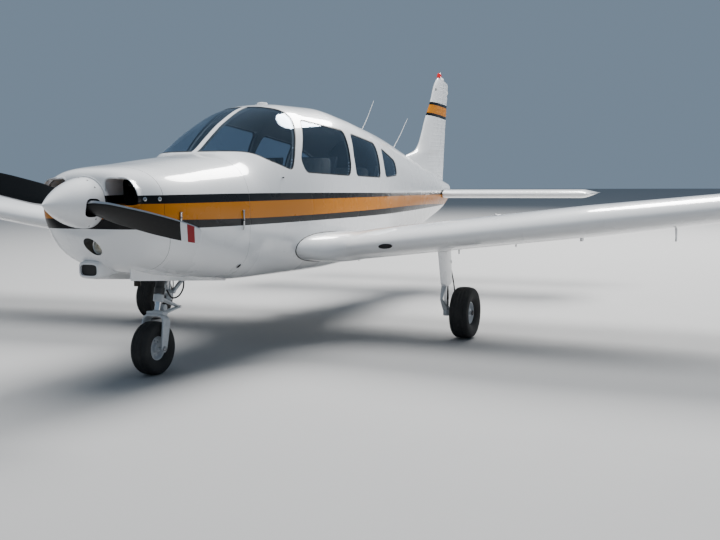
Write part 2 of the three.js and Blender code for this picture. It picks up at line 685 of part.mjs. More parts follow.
// Tail
function stabilator() {
  const half = STABILATOR.map((row) => foilRing(row, wingPut));
  const slab = union(loft(half), mirrored(loft(half)));
  const { station, z } = STABILATOR_HINGE;
  const tube = rod([-300, station, z], [300, station, z], TORQUE_TUBE, TORQUE_TUBE, 16);
  const behind = block([-90, CONE_END - 5, 1000], [90, CONE_END + 40, 1300]);
  const room = bodySolid(6500, CONE_END, -14).add(behind);
  const ends = [270, 1720].map((x) => wingHinge(STABILATOR, x, TAB_STATION));
  const left = hinged(slab.subtract(room), ends[0].at, ends[1].at, ends[0].half, ends[1].half, 300);
  const right = ends.map(({ at: [x, s, h] }) => [-x, s, h]);
  const both = hinged(left.fixed, right[1], right[0], ends[1].half, ends[0].half, 300);
  return { main: both.fixed.add(tube), tab: left.moving };
}

function fin() {
  const put = (height, station, x) => new THREE.Vector3(x, station, height);
  const rows = FIN.map(([height, nose, tail, thickness]) => [height, nose, 0, tail, 0, thickness, 0]);
  const slab = loft(rows.map((row) => foilRing(row, put)));
  const ends = [RUDDER_HINGE.low, RUDDER_HINGE.high].map(([height, station]) => ({
    at: [0, station, height], half: foilAt(between(rows, height), station).half,
  }));
  const parts = hinged(slab, ends[0].at, ends[1].at, ends[0].half, ends[1].half, 700);
  const [capHeight, capStation] = RUDDER_HINGE.high;
  const cap = block([-200, capStation - CLEAR, capHeight - 40], [200, 7700, 2700]);
  return {
    main: parts.fixed.subtract(bodySolid(5500, CONE_END + 100, -GAP)).subtract(cap),
    rudder: parts.moving,
  };
}

// Undercarriage
function tyre({ radius, width, rim }, station) {
  const half = width / 2;
  const profile = [
    [radius, -half * 0.42], [radius, half * 0.42], [radius * 0.95, half * 0.84], [radius * 0.82, half],
    [rim + 16, half * 0.8], [rim + GAP, half * 0.62], [rim + GAP, -half * 0.62], [rim + 16, -half * 0.8],
    [radius * 0.82, -half], [radius * 0.95, -half * 0.84],
  ];
  return revolve(profile, station, radius, ROUND);
}

function wheel({ radius, width, rim }, station, bore) {
  const half = width / 2;
  const profile = [
    [bore, -half * 0.5], [bore, half * 0.5], [bore + 18, half * 0.5], [rim - 18, half * 0.2],
    [rim - 8, half * 0.6], [rim, half * 0.6], [rim, -half * 0.6], [rim - 8, -half * 0.6],
    [rim - 18, -half * 0.2], [bore + 18, -half * 0.5],
  ];
  return revolve(profile, station, radius, ROUND);
}

const moved = (body, x) => solid(surface(body).translate(x, 0, 0));

// The nose leg is drawn upright over its axle, then raked back about the axle
function raked(body) {
  const { station, radius, rake } = NOSE_GEAR;
  return solid(surface(body).translate(0, -station, -radius)
    .rotateX(-THREE.MathUtils.degToRad(rake)).translate(0, station, radius));
}

function noseStrut() {
  const { station } = NOSE_GEAR;
  const radius = holeRadius(FORK.piston, 16);
  const bore = rod([0, station, 500], [0, station, 640], radius, radius, 16);
  const housing = raked(rod([0, station, COLLAR.high + 5], [0, station, 1060], 30, 30, 16))
    .intersect(below(ENGINE.low - GAP));
  const trunnion = rod([-148, 1236, 880], [148, 1236, 880], 20);
  const gusset = sidePrism([[1150, 610], [1262, 564], [1276, 578], [1264, 592], [1190, 650]], -16, 16);
  const brace = union(
    rod([-50, 1262, 578], [-100, 1560, 822], 13),
    rod([50, 1262, 578], [100, 1560, 822], 13),
    rod([-62, 1262, 578], [62, 1262, 578], 14));
  return union(housing, trunnion, gusset, brace).subtract(raked(bore));
}

function noseFork() {
  const { station, radius } = NOSE_GEAR;
  const collar = rod(
    [0, station, COLLAR.low], [0, station, COLLAR.high], COLLAR.radius, COLLAR.radius, 16);
  const piston = rod([0, station, FORK.crown + 4], [0, station, 630], FORK.piston, FORK.piston, 16);
  const side = FORK.leg + FORK.thick / 2;
  const inner = FORK.leg - FORK.thick / 2;
  const crown = frontPrism([[-side, FORK.crown - 50], [-side + 8, FORK.crown - 14], [-66, FORK.top],
    [66, FORK.top], [side - 8, FORK.crown - 14], [side, FORK.crown - 50], [inner, FORK.crown - 54],
    [54, FORK.crown - 8], [-54, FORK.crown - 8], [-inner, FORK.crown - 54]], station - 42, station + 38, 6);
  const legs = [-1, 1].map((turn) => sidePrism([
    [station - 40, FORK.crown - 40], [station + 36, FORK.crown - 40], [station + 42, radius + 20],
    [station + 26, radius - 28], [station - 16, radius - 28], [station - 28, radius + 20],
  ], turn > 0 ? inner : -side, turn > 0 ? side : -inner, 10));
  const pin = rod([-FORK.leg, station, radius], [FORK.leg, station, radius], AXLE.nose, AXLE.nose, 12);
  const links = sidePrism([
    [station + 20, 566], [station + 262, 534], [station + 274, 517], [station + 262, 498],
    [station + 38, 424], [station + 38, 450], [station + 226, 516], [station + 20, 532],
  ], -18, 18);
  return raked(union(collar, piston, crown, ...legs, pin, links));
}

function noseDoor() {
  const panel = sidePrism([[640, 727], [1800, 604], [1840, 640], [1840, 900], [640, 900]],
    WELL.x + GAP, WELL.x + 12, 4);
  return panel.subtract(bodySolid(450, 2200, -GAP));
}

// The wing's solid lowered by the gap, which trims what rests against it from below
const wingUnderside = () => solid(surface(loft(WING.map((row) => foilRing(row, wingPut))))
  .translate(0, 0, -GAP));

function mainLeg() {
  const { x, station, top, radius } = LEG;
  const axle = MAIN_GEAR.radius;
  const cylinder = rod([x, station, 480], [x, station, top - GAP], radius, radius, 16);
  const piston = rod([x, station, axle], [x, station, 500], 22, 22, 16);
  const foot = rod([x, station, axle - 34], [x, station, axle + 40], 30, 30, 16);
  const tip = [MAIN_GEAR.x + 62, station, axle];
  const stub = rod([x, station, axle], tip, AXLE.main, AXLE.main, 12);
  const links = sidePrism([
    [station - 20, 512], [station - 136, 356], [station - 136, 340], [station - 16, axle + 8],
    [station - 16, axle + 34], [station - 112, 348], [station - 20, 484],
  ], x - 22, x + 22);
  const caliper = block([x + 18, station + 60, axle - 30], [x + 62, station + 108, axle + 40]);
  const arm = block([x + 4, station - 8, axle - 16], [x + 24, station + 90, axle + 18]);
  const brace = union(
    rod([x - 8, station, 672], [1376, station + 20, 742], 13),
    rod([1376, station + 20, 732], [1376, station + 20, 800], 16)).subtract(wingUnderside());
  return union(cylinder, piston, foot, stub, links, caliper, arm, brace);
}

function mainDoor() {
  const plate = sidePrism([[3048, 457], [3326, 457], [3290, 800], [3290, 880], [2950, 880], [2950, 800]],
    1478, 1488, 20);
  const bracket = block([LEG.x + LEG.radius + GAP, 3286, 640], [1482, 3306, 664]);
  return plate.subtract(wingUnderside()).add(bracket);
}

// Assembly
place('nose_bowl', noseBowl(), WHITE);
place('cowl_upper', cowlShell().intersect(above(COWL_SPLIT)).subtract(bowlKeepOut()), WHITE);
place('cowl_lower', cowlLower(), WHITE);
place('landing_light', rod([0, LAMP.front, LAMP.z], [0, LAMP.back, LAMP.z], LAMP.radius, LAMP.radius, 16),
  GLASS_TINT);
place('engine_block', engine(), CAST);
place('firewall', firewall(), ALLOY);
place('propeller', propeller(), BLACK);
place('spinner', spinner(), WHITE);
place('cabin_upper', cabinUpper(), WHITE);
place('cabin_lower', cabinLower(), WHITE);
place('cabin_floor', cabinFloor(), TRIM);
place('instrument_panel', instrumentPanel(), BLACK);
place('seat_pads_left', seatPads(SEAT_X), CLOTH);
place('seat_pads_right', seatPads(-SEAT_X), CLOTH);
place('bench_pads', benchPads(), CLOTH);
place('windscreen_left', pane(WINDSCREEN, onLeft), GLASS_TINT);
place('windscreen_right', pane(WINDSCREEN, onRight), GLASS_TINT);
place('window_left_1', pane(WINDOW_1, onLeft), GLASS_TINT);
place('window_left_2', pane(WINDOW_2, onLeft), GLASS_TINT);
place('window_left_3', pane(WINDOW_3, onLeft), GLASS_TINT);
place('window_right_2', pane(WINDOW_2, onRight), GLASS_TINT);
place('window_right_3', pane(WINDOW_3, onRight), GLASS_TINT);
place('door_window', pane(WINDOW_1, onRight), GLASS_TINT);
place('cabin_door', cabinDoor(), WHITE);
place('baggage_door', baggageDoor(), WHITE);
place('tail_cone', tailCone(), WHITE);

const wings = wing();
placePair('wing', wings.main, WHITE);
placePair('flap', wings.flap, WHITE);
placePair('aileron', wings.aileron, WHITE);

const tail = stabilator();
place('stabilator', tail.main, WHITE);
placePair('tab', tail.tab, WHITE);
const upright = fin();
place('fin', upright.main, WHITE);
place('rudder', upright.rudder, WHITE);
place('beacon', rod([0, 7165, 2582 + GAP], [0, 7165, 2640], 32, 22, 12), RED);

place('nose_strut', noseStrut(), GREY);
place('nose_fork', noseFork(), GREY);
place('nose_wheel', wheel(NOSE_GEAR, NOSE_GEAR.station, AXLE.nose + AXLE.running), GREY);
place('nose_tyre', tyre(NOSE_GEAR, NOSE_GEAR.station), RUBBER);
placePair('nose_door', noseDoor(), WHITE);
placePair('main_leg', mainLeg(), GREY);
placePair('main_door', mainDoor(), WHITE);
const mainWheel = wheel(MAIN_GEAR, MAIN_GEAR.station, AXLE.main + AXLE.running);
placePair('main_wheel', moved(mainWheel, MAIN_GEAR.x), GREY);
placePair('main_tyre', moved(tyre(MAIN_GEAR, MAIN_GEAR.station), MAIN_GEAR.x), RUBBER);

export default aircraft;
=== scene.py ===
"""The looks of a low-wing light aircraft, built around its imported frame. Metres; +X is the left wing,
-Y the nose, +Z up. Lengths along the aircraft are stations, counted aft from the spinner's tip."""

import json
import math

import bpy
import mathutils
import numpy as np
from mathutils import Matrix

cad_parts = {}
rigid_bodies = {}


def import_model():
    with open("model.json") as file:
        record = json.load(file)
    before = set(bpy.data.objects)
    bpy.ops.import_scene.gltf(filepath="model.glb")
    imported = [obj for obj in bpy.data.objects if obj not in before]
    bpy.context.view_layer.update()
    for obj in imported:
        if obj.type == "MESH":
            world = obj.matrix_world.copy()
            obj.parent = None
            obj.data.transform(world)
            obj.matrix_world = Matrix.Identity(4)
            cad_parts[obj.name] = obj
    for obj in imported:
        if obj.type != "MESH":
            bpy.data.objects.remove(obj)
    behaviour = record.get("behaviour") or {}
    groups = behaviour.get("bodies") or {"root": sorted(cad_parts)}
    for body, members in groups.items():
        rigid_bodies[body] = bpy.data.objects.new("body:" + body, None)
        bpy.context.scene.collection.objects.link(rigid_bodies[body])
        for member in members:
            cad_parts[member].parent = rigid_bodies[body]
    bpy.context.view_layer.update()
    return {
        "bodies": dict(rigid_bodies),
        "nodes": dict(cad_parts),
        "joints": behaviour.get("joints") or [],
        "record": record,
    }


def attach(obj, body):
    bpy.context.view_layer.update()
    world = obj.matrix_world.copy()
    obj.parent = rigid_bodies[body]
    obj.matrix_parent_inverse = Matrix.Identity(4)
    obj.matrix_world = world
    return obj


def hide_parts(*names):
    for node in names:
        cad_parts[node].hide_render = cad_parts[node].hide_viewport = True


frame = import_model()

HALF_LENGTH = 3.75
GAP = 0.0003
CLEAR = 0.006
SKIN = 0.03
COWL_SKIN = 0.02
ROUND_STEPS = 160

# Fuselage sections: station, half width, top, bottom, waist's height, roundness above and below
BODY = np.array([
    [0.405, 0.290, 1.412, 1.040, 1.235, 2.5, 2.2],
    [0.425, 0.362, 1.450, 1.000, 1.230, 2.6, 2.3],
    [0.480, 0.414, 1.472, 0.938, 1.220, 2.7, 2.5],
    [0.600, 0.480, 1.487, 0.820, 1.200, 2.8, 2.5],
    [0.850, 0.524, 1.506, 0.747, 1.180, 2.8, 2.6],
    [1.200, 0.546, 1.538, 0.694, 1.160, 2.9, 3.0],
    [1.600, 0.560, 1.577, 0.638, 1.150, 2.9, 3.6],
    [1.667, 0.560, 1.597, 0.626, 1.150, 2.9, 3.6],
    [1.850, 0.560, 1.708, 0.612, 1.150, 2.9, 3.6],
    [2.050, 0.561, 1.826, 0.603, 1.150, 2.9, 3.6],
    [2.430, 0.561, 1.971, 0.588, 1.150, 2.9, 3.6],
    [2.700, 0.561, 2.001, 0.578, 1.150, 2.9, 3.6],
    [3.200, 0.560, 2.003, 0.566, 1.150, 2.9, 3.6],
    [3.700, 0.552, 1.948, 0.572, 1.150, 2.9, 3.6],
    [4.100, 0.535, 1.890, 0.590, 1.150, 2.8, 3.5],
    [4.400, 0.505, 1.850, 0.614, 1.150, 2.7, 3.3],
    [4.750, 0.462, 1.794, 0.646, 1.155, 2.6, 3.0],
    [5.400, 0.375, 1.668, 0.697, 1.165, 2.4, 2.6],
    [6.000, 0.288, 1.541, 0.743, 1.170, 2.3, 2.4],
    [6.600, 0.200, 1.414, 0.841, 1.170, 2.2, 2.2],
    [7.100, 0.120, 1.308, 0.945, 1.170, 2.2, 2.2],
    [7.360, 0.075, 1.259, 1.045, 1.170, 2.2, 2.2],
])
NOSE_TIP, CONE_END = BODY[0, 0], BODY[-1, 0]

# Wing sections: x, nose station and height, tail station and height, thickness, camber
WING = np.array([
    [0.120, 2.231, 0.826, 4.280, 0.722, 0.248, 0.002],
    [0.560, 2.261, 0.826, 4.280, 0.722, 0.248, 0.002],
    [0.680, 2.448, 0.804, 4.280, 0.723, 0.262, 0.018],
    [0.800, 2.634, 0.816, 4.280, 0.725, 0.257, 0.019],
    [2.700, 2.654, 1.033, 4.280, 0.942, 0.253, 0.019],
    [5.250, 2.956, 1.311, 4.083, 1.238, 0.166, 0.016],
    [5.390, 3.044, 1.329, 4.070, 1.258, 0.060, 0.006],
    [5.400, 3.104, 1.329, 4.050, 1.262, 0.014, 0.000],
])

# Tailplane sections, in the same columns
STABILATOR = np.array([
    [0.000, 6.730, 1.133, 7.500, 1.133, 0.104, 0.000],
    [1.850, 6.730, 1.133, 7.500, 1.133, 0.098, 0.000],
    [1.920, 6.750, 1.133, 7.496, 1.133, 0.066, 0.000],
    [1.960, 6.830, 1.133, 7.480, 1.133, 0.010, 0.000],
])

# Fin sections: height, nose station, tail station, thickness
FIN = np.array([
    [1.200, 5.900, 7.262, 0.094],
    [1.580, 5.960, 7.318, 0.092],
    [1.620, 6.100, 7.324, 0.090],
    [1.660, 6.300, 7.330, 0.090],
    [1.740, 6.435, 7.344, 0.088],
    [1.850, 6.525, 7.362, 0.084],
    [2.050, 6.665, 7.398, 0.078],
    [2.285, 6.862, 7.446, 0.068],
    [2.445, 6.960, 7.476, 0.058],
    [2.520, 7.030, 7.488, 0.052],
    [2.565, 7.095, 7.492, 0.040],
    [2.582, 7.150, 7.492, 0.012],
])
TAIL_EDGE = 0.002

# Side views of the windows and doors: station, height
WINDSCREEN = np.array([
    [1.500, 1.600], [1.772, 1.587], [1.885, 1.526], [2.100, 1.468], [2.205, 1.444], [2.252, 1.500],
    [2.316, 1.612], [2.412, 1.745], [2.480, 1.839], [2.505, 1.900], [2.485, 1.948], [2.420, 1.966],
    [2.400, 2.100], [1.500, 2.100],
])
WINDOW_1 = np.array([
    [2.432, 1.424], [3.272, 1.388], [3.316, 1.475], [3.344, 1.797], [2.600, 1.867], [2.360, 1.530]])
WINDOW_2 = np.array([[3.406, 1.386], [4.008, 1.364], [4.058, 1.700], [3.468, 1.778], [3.396, 1.581]])
WINDOW_3 = np.array([[4.150, 1.364], [4.572, 1.378], [4.592, 1.530], [4.205, 1.660], [4.140, 1.519]])
CABIN_DOOR = np.array([
    [2.250, 0.980], [3.370, 0.980], [3.374, 1.320], [3.374, 1.885], [2.560, 1.918], [2.345, 1.610],
    [2.250, 1.450]])
BAGGAGE_DOOR = np.array([[4.020, 0.930], [4.520, 0.930], [4.520, 1.310], [4.020, 1.310]])
POST = 0.022
WINDOW_ROUND = 0.055
DOOR_ROUND = 0.06
DOORWAY_GROW, DOOR_GROW = 0.0045, 0.0015
LINING_DEPTH, SHADE_DEPTH = 0.014, 0.012

COWL_END = 1.52
SILL = 1.33
COWL_SPLIT = 1.18
CABIN_END = 4.75
BOWL_SEAM = 0.59
BOWL_SEAM_LOW = 0.745
SHAFT_Z = 1.253
SHAFT = ([0, 0, SHAFT_Z], [0, 1, 0])
HUB = 0.3
BLADE_ANGLE = -11.4
SIDES = ((1, "left"), (-1, "right"))


# Numbers and curves
def smooth_table(table, at):
    """Rows of the table at the values at: each column is a monotone cubic between its rows, whose
    slope at a row is the harmonic mean of the slopes beside it, or nothing where they differ in
    sign."""
    at = np.clip(np.atleast_1d(at).astype(float), table[0, 0], table[-1, 0])
    x, y = table[:, 0], table[:, 1:]
    step = np.diff(x)[:, None]
    slope = np.diff(y, axis=0) / step
    inner = np.where(slope[:-1] * slope[1:] > 0,
                     2 * slope[:-1] * slope[1:] / np.where(slope[:-1] + slope[1:] == 0, 1,
                                                           slope[:-1] + slope[1:]), 0)
    ends = np.vstack([slope[:1], inner, slope[-1:]])
    k = np.clip(np.searchsorted(x, at, side="right") - 1, 0, len(x) - 2)
    t = ((at - x[k]) / (x[k + 1] - x[k]))[:, None]
    h = step[k]
    return ((1 + 2 * t) * (1 - t) ** 2 * y[k] + t * (1 - t) ** 2 * h * ends[k]
            + t ** 2 * (3 - 2 * t) * y[k + 1] + t ** 2 * (t - 1) * h * ends[k + 1])


def spaced(table, step):
    """Values of the table's first column: its rows, and between them even steps no longer than step."""
    parts = [np.linspace(a, b, max(2, int(math.ceil((b - a) / step)) + 1))[:-1]
             for a, b in zip(table[:-1], table[1:])]
    return np.append(np.concatenate(parts), table[-1])


def turned(points, axis, angle, pivot):
    """Points turned by an angle in radians about an axis through a pivot (Rodrigues' formula)."""
    axis = np.asarray(axis, float) / np.linalg.norm(axis)
    v = np.asarray(points, float) - pivot
    c, s = math.cos(angle), math.sin(angle)
    along = (v @ axis)[..., None] * axis
    return pivot + v * c + np.cross(axis, v) * s + along * (1 - c)


# Meshes
def mesh_piece(name, points, faces):
    """A piece from points and faces, put in the scene; from station to row frame along Y."""
    mesh = bpy.data.meshes.new(name)
    points = np.asarray(points, float).reshape(-1, 3)
    mesh.from_pydata((points - [0, HALF_LENGTH, 0]).tolist(), [], faces)
    mesh.update()
    piece = bpy.data.objects.new(name, mesh)
    bpy.context.scene.collection.objects.link(piece)
    return piece


def volume(points, quads):
    """Signed volume inside quads, each taken as two triangles."""
    a, b, c, d = (points[quads[:, k]] for k in range(4))
    return (np.einsum("ij,ij->", a, np.cross(b, c)) + np.einsum("ij,ij->", a, np.cross(c, d))) / 6


def skin(name, rings, loop=False):
    """A closed surface through rings of equal counts: joined end to end where loop is true, and otherwise
    closed by a flat face at each end. Its faces are turned outwards by the sign of its volume."""
    rings = np.asarray(rings, float)
    rows, count = rings.shape[:2]
    i, k = np.meshgrid(np.arange(rows if loop else rows - 1), np.arange(count), indexing="ij")
    i, k, up, on = i.ravel(), k.ravel(), (i.ravel() + 1) % rows, (k.ravel() + 1) % count
    quads = np.stack([i * count + k, i * count + on, up * count + on, up * count + k], axis=1)
    points = rings.reshape(-1, 3)
    flip = volume(points - points.mean(0), quads) < 0
    faces = (quads[:, ::-1] if flip else quads).tolist()
    if not loop:
        first, last = list(range(count)), list(range((rows - 1) * count, rows * count))
        faces += [first, last[::-1]] if flip else [first[::-1], last]
    return mesh_piece(name, points, faces)


def combine(piece, other, operation, keep_other=False):
    """piece with other taken off it (DIFFERENCE), joined (UNION) or kept only inside it (INTERSECT)."""
    step = piece.modifiers.new("combine", "BOOLEAN")
    step.operation, step.solver, step.object = operation, "MANIFOLD", other
    graph = bpy.context.evaluated_depsgraph_get()
    made = bpy.data.meshes.new_from_object(piece.evaluated_get(graph))
    piece.modifiers.clear()
    before, piece.data = piece.data, made
    bpy.data.meshes.remove(before)
    if not keep_other:
        drop(other)
    return piece


def drop(piece):
    mesh = piece.data
    bpy.data.objects.remove(piece)
    bpy.data.meshes.remove(mesh)


def cut(piece, *others):
    for other in others:
        combine(piece, other, "DIFFERENCE")
    return piece


def inside(piece, other):
    return combine(piece, other, "INTERSECT")


def joined(piece, *others):
    for other in others:
        combine(piece, other, "UNION")
    return piece


def copied(piece, name):
    twin = bpy.data.objects.new(name, piece.data.copy())
    bpy.context.scene.collection.objects.link(twin)
    return twin


def mirrored(piece, name):
    """The piece's twin across the plane X = 0, with its faces turned back outwards."""
    twin = copied(piece, name)
    mesh = twin.data
    at = np.zeros(len(mesh.vertices) * 3)
    mesh.vertices.foreach_get("co", at)
    at[0::3] *= -1
    mesh.vertices.foreach_set("co", at)
    mesh.flip_normals()
    mesh.update()
    return twin


def smooth(piece, degrees=35):
    """Smooth shading, with edges sharper than the angle kept crisp."""
    mesh = piece.data
    mesh.polygons.foreach_set("use_smooth", np.ones(len(mesh.polygons), bool))
    mesh.set_sharp_from_angle(angle=math.radians(degrees))
    return piece


def show(piece, body, finish, replaces=(), degrees=35, name=None):
    """Finishes a piece: its name, smooth shading, its material, the body it rides on and the nodes it
    stands for."""
    if name:
        piece.name = name
    smooth(piece, degrees)
    if finish is not None:
        piece.data.materials.clear()
        piece.data.materials.append(finish)
    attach(piece, body)
    if replaces:
        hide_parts(*([replaces] if isinstance(replaces, str) else replaces))
    return piece


# Basic shapes
def rounded(points, radius, steps=8):
    """An outline with its corners rounded: each corner is a quadratic curve that starts and ends a radius
    away along its sides, or less on a short side."""
    points = np.asarray(points, float)
    before, after = np.roll(points, 1, axis=0), np.roll(points, -1, axis=0)

    def toward(other):
        away = other - points
        length = np.linalg.norm(away, axis=1, keepdims=True)
        return points + away / length * np.minimum(radius, length / 2.2)

    start, end = toward(before)[:, None], toward(after)[:, None]
    t = np.linspace(0, 1, steps)[None, :, None]
    return ((1 - t) ** 2 * start + 2 * t * (1 - t) * points[:, None] + t ** 2 * end).reshape(-1, 2)


def grown(points, distance):
    """An outline moved outwards along the mean normal at each corner."""
    points = np.asarray(points, float)
    x, y = points[:, 0], points[:, 1]
    turn = np.sign(np.sum(x * np.roll(y, -1) - np.roll(x, -1) * y))
    ahead = np.roll(points, -1, axis=0) - points
    ahead /= np.linalg.norm(ahead, axis=1, keepdims=True)
    normal = np.stack([ahead[:, 1], -ahead[:, 0]], axis=1) * turn
    before = np.roll(normal, 1, axis=0)
    middle = normal + before
    middle /= np.linalg.norm(middle, axis=1, keepdims=True)
    return points + middle * (distance / np.sum(middle * before, axis=1))[:, None]


def side_prism(outline, start, end):
    """An outline in side view (station, height), carried across the aircraft from x = start to end."""
    flat = np.asarray(outline, float)
    rings = [np.column_stack([np.full(len(flat), x), flat]) for x in (start, end)]
    return skin("prism", rings)


def front_prism(outline, start, end):
    """An outline in front view (x, height), carried along the aircraft between two stations."""
    flat = np.asarray(outline, float)
    rings = [np.column_stack([flat[:, 0], np.full(len(flat), s), flat[:, 1]]) for s in (start, end)]
    return skin("prism", rings)


def block(low, high):
    (x0, y0, z0), (x1, y1, z1) = low, high
    return side_prism([[y0, z0], [y1, z0], [y1, z1], [y0, z1]], x0, x1)


def circle_frame(axis):
    axis = np.asarray(axis, float) / np.linalg.norm(axis)
    side = np.cross(axis, [0, 0, 1] if abs(axis[2]) < 0.9 else [1, 0, 0])
    side /= np.linalg.norm(side)
    return axis, side, np.cross(axis, side)


def superellipse(count, power):
    """Points of |x|^p + |y|^p = 1 at even angles."""
    turn = 2 * math.pi * np.arange(count) / count
    c, s = np.cos(turn), np.sin(turn)
    r = (np.abs(c) ** power + np.abs(s) ** power) ** (-1 / power)
    return r * c, r * s


def swept(path, radius, sides=16):
    """Rings of circles along a path: each circle is square to the path, and its start follows the last
    circle's, so that the tube doesn't twist. radius is one number or one for each point."""
    path = np.asarray(path, float)
    ahead = np.gradient(path, axis=0)
    ahead /= np.linalg.norm(ahead, axis=1, keepdims=True)
    radius = np.broadcast_to(radius, len(path))
    turn = 2 * math.pi * np.arange(sides) / sides
    _, side, _ = circle_frame(ahead[0])
    rings = []
    for point, along, r in zip(path, ahead, radius):
        side = side - along * (side @ along)
        side /= np.linalg.norm(side)
        up = np.cross(along, side)
        rings.append(point + r * (np.cos(turn)[:, None] * side + np.sin(turn)[:, None] * up))
    return np.array(rings)


def rod(start, end, radius, end_radius=None, sides=32):
    start, end = np.asarray(start, float), np.asarray(end, float)
    last = radius if end_radius is None else end_radius
    return skin("rod", swept([start, end], [radius, last], sides))


def lathe_rings(profile, centre, axis, sides=64):
    """Rings of a profile (distance along the axis, radius) turned about an axis through a centre."""
    axis, side, up = circle_frame(axis)
    profile = np.asarray(profile, float)
    turn = 2 * math.pi * np.arange(sides) / sides
    around = np.cos(turn)[:, None] * side + np.sin(turn)[:, None] * up
    return (np.asarray(centre) + profile[:, 0, None, None] * axis
            + profile[:, 1, None, None] * around[None])


# Fuselage
def body_sizes(stations):
    """The fuselage's section sizes at stations. Between its rows they are smooth in the square root
    of the distance behind the nose, so that the nose turns round into its flat front."""
    rows = BODY.copy()
    rows[:, 0] = np.sqrt(rows[:, 0] - NOSE_TIP)
    return smooth_table(rows, np.sqrt(np.maximum(np.asarray(stations, float) - NOSE_TIP, 0))).T


def body_reach(stations, x, height, inset=0.0, from_points=False):
    """Distance from the middle of the waist to the skin in a direction: each half of a section is a
    superellipse r = ((cos a / w)^n + (sin a / h)^n)^(-1/n) of half width w, height h and roundness n."""
    sizes = body_sizes(stations)
    if not from_points:
        sizes = sizes[:, :, None]
    width, top, bottom, waist, upper, lower = sizes
    up = height - waist if from_points else height
    length = np.maximum(np.hypot(x, up), 1e-9)
    c, s = np.abs(x) / length, up / length
    n = np.where(s >= 0, upper, lower)
    tall = np.where(s >= 0, top - waist, waist - bottom) - inset
    return ((c / (width - inset)) ** n + (np.abs(s) / tall) ** n) ** (-1 / n), waist


def body_rings(stations, inset=0.0, steps=ROUND_STEPS):
    """Sections of the fuselage, sampled at even angles round its waist."""
    angle = 2 * math.pi * np.arange(steps) / steps
    c, s = np.cos(angle), np.sin(angle)
    r, waist = body_reach(stations, c, s, inset)
    along = np.broadcast_to(np.asarray(stations, float)[:, None], r.shape)
    return np.stack([r * c, along, waist + r * s], axis=2)


def body_width(stations, heights, inset=0.0):
    """Half width of the fuselage at a station and height."""
    width, top, bottom, waist, upper, lower = body_sizes(stations)
    above = heights >= waist
    height = np.where(above, top - waist, waist - bottom) - inset
    n = np.where(above, upper, lower)
    share = np.clip(np.abs(heights - waist) / height, 0, 1)
    return (width - inset) * (1 - share ** n) ** (1 / n)


def body_stations(start, end, step):
    """Even stations between two, and closer ones where the nose turns round."""
    nose = NOSE_TIP + 0.12 * np.linspace(0, 1, 16) ** 2
    nose = nose[(nose > start + 1e-4) & (nose < end - 1e-4)]
    even = np.linspace(start, end, max(2, int(math.ceil((end - start) / step)) + 1))
    even = even[(even == start) | (even > NOSE_TIP + 0.121)]
    return np.unique(np.concatenate([nose, even]))


def body_solid(name, start, end, inset=0.0, step=0.02):
    return skin(name, body_rings(body_stations(start, end, step), inset))


def body_shell(name, start, end, thickness, outer=0.0, step=0.02):
    """The fuselage's wall between two stations, from a depth outer down to a depth thickness."""
    outside = body_rings(body_stations(start, end, step), outer)
    within = body_rings(body_stations(start, end, 0.06), thickness)
    return skin(name, np.concatenate([outside, within[::-1]]), loop=True)


FAR = 3.0


def on_left(outline, radius, steps=8):
    return side_prism(rounded(outline, radius, steps), POST, FAR)


def on_right(outline, radius, steps=8):
    return side_prism(rounded(outline, radius, steps), -FAR, -POST)


def between_heights(low, high):
    return block([-FAR, -FAR, low], [FAR, 12.0, high])


# Aerofoils
def foil_curve(t):
    """Half thickness along the chord t as a share of the thickness: the usual curve
    a*sqrt(t) - b*t - c*t^2 + d*t^3 - e*t^4."""
    return 1.4845 * np.sqrt(t) - 0.63 * t - 1.758 * t ** 2 + 1.4215 * t ** 3 - 0.518 * t ** 4


def foil_surface(row, t, side):
    """Station and height at chord t of a section's surface: side is 1 above, -1 below and 0 on the middle
    line, which is straight plus a parabola of camber."""
    nose_at, nose_up, tail_at, tail_up, thick, camber = row
    line = nose_up + (tail_up - nose_up) * t + camber * 4 * t * (1 - t)
    half = np.maximum(thick * foil_curve(t), 0) + TAIL_EDGE * t
    return nose_at + (tail_at - nose_at) * t, line + side * half


def foil_rings(rows, steps):
    """Sections of an aerofoil from rows of x, nose, tail, thickness and camber, from the upper tail round
    the nose to the lower tail."""
    half_turn = np.linspace(0, math.pi, steps)
    t = np.concatenate([(1 + np.cos(half_turn)) / 2, (1 - np.cos(half_turn[1:])) / 2])[None]
    side = np.concatenate([np.ones(steps), -np.ones(steps - 1)])[None]
    station, height = foil_surface([rows[:, k, None] for k in range(1, 7)], t, side)
    return np.stack(np.broadcast_arrays(rows[:, :1], station, height), axis=2)


def table_rows(table, values):
    return np.column_stack([values, smooth_table(table, values)])


def foil_at(table, x, at):
    """Middle height and half thickness of the foil at a span and a station."""
    row = table_rows(table, np.array([x]))[0, 1:]
    t = (at - row[0]) / (row[2] - row[0])
    middle, top = (foil_surface(row, t, side)[1] for side in (0, 1))
    return middle, top - middle


def hinge_parts(a, b, half_a, half_b, depth):
    """Cutters for a trailing surface hinged between a and b: the box behind the line, the cove round it
    and the surface's own round nose."""
    a, b = np.asarray(a, float), np.asarray(b, float)
    u = (b - a) / np.linalg.norm(b - a)
    v = np.array([0.0, 1.0, 0.0]) - u * u[1]
    v /= np.linalg.norm(v)
    w = np.cross(u, v)

    def box(extra):
        corners = [(0, -depth / 2), (depth, -depth / 2), (depth, depth / 2), (0, depth / 2)]
        rings = [[end + v * p + w * q for p, q in corners] for end in (a - u * extra, b + u * extra)]
        return skin("box", rings)

    cove = rod(a - u * CLEAR, b + u * CLEAR, half_a + CLEAR, half_b + CLEAR, 64)
    nose = rod(a, b, half_a * 0.96, half_b * 0.96, 64)
    return box, cove, nose


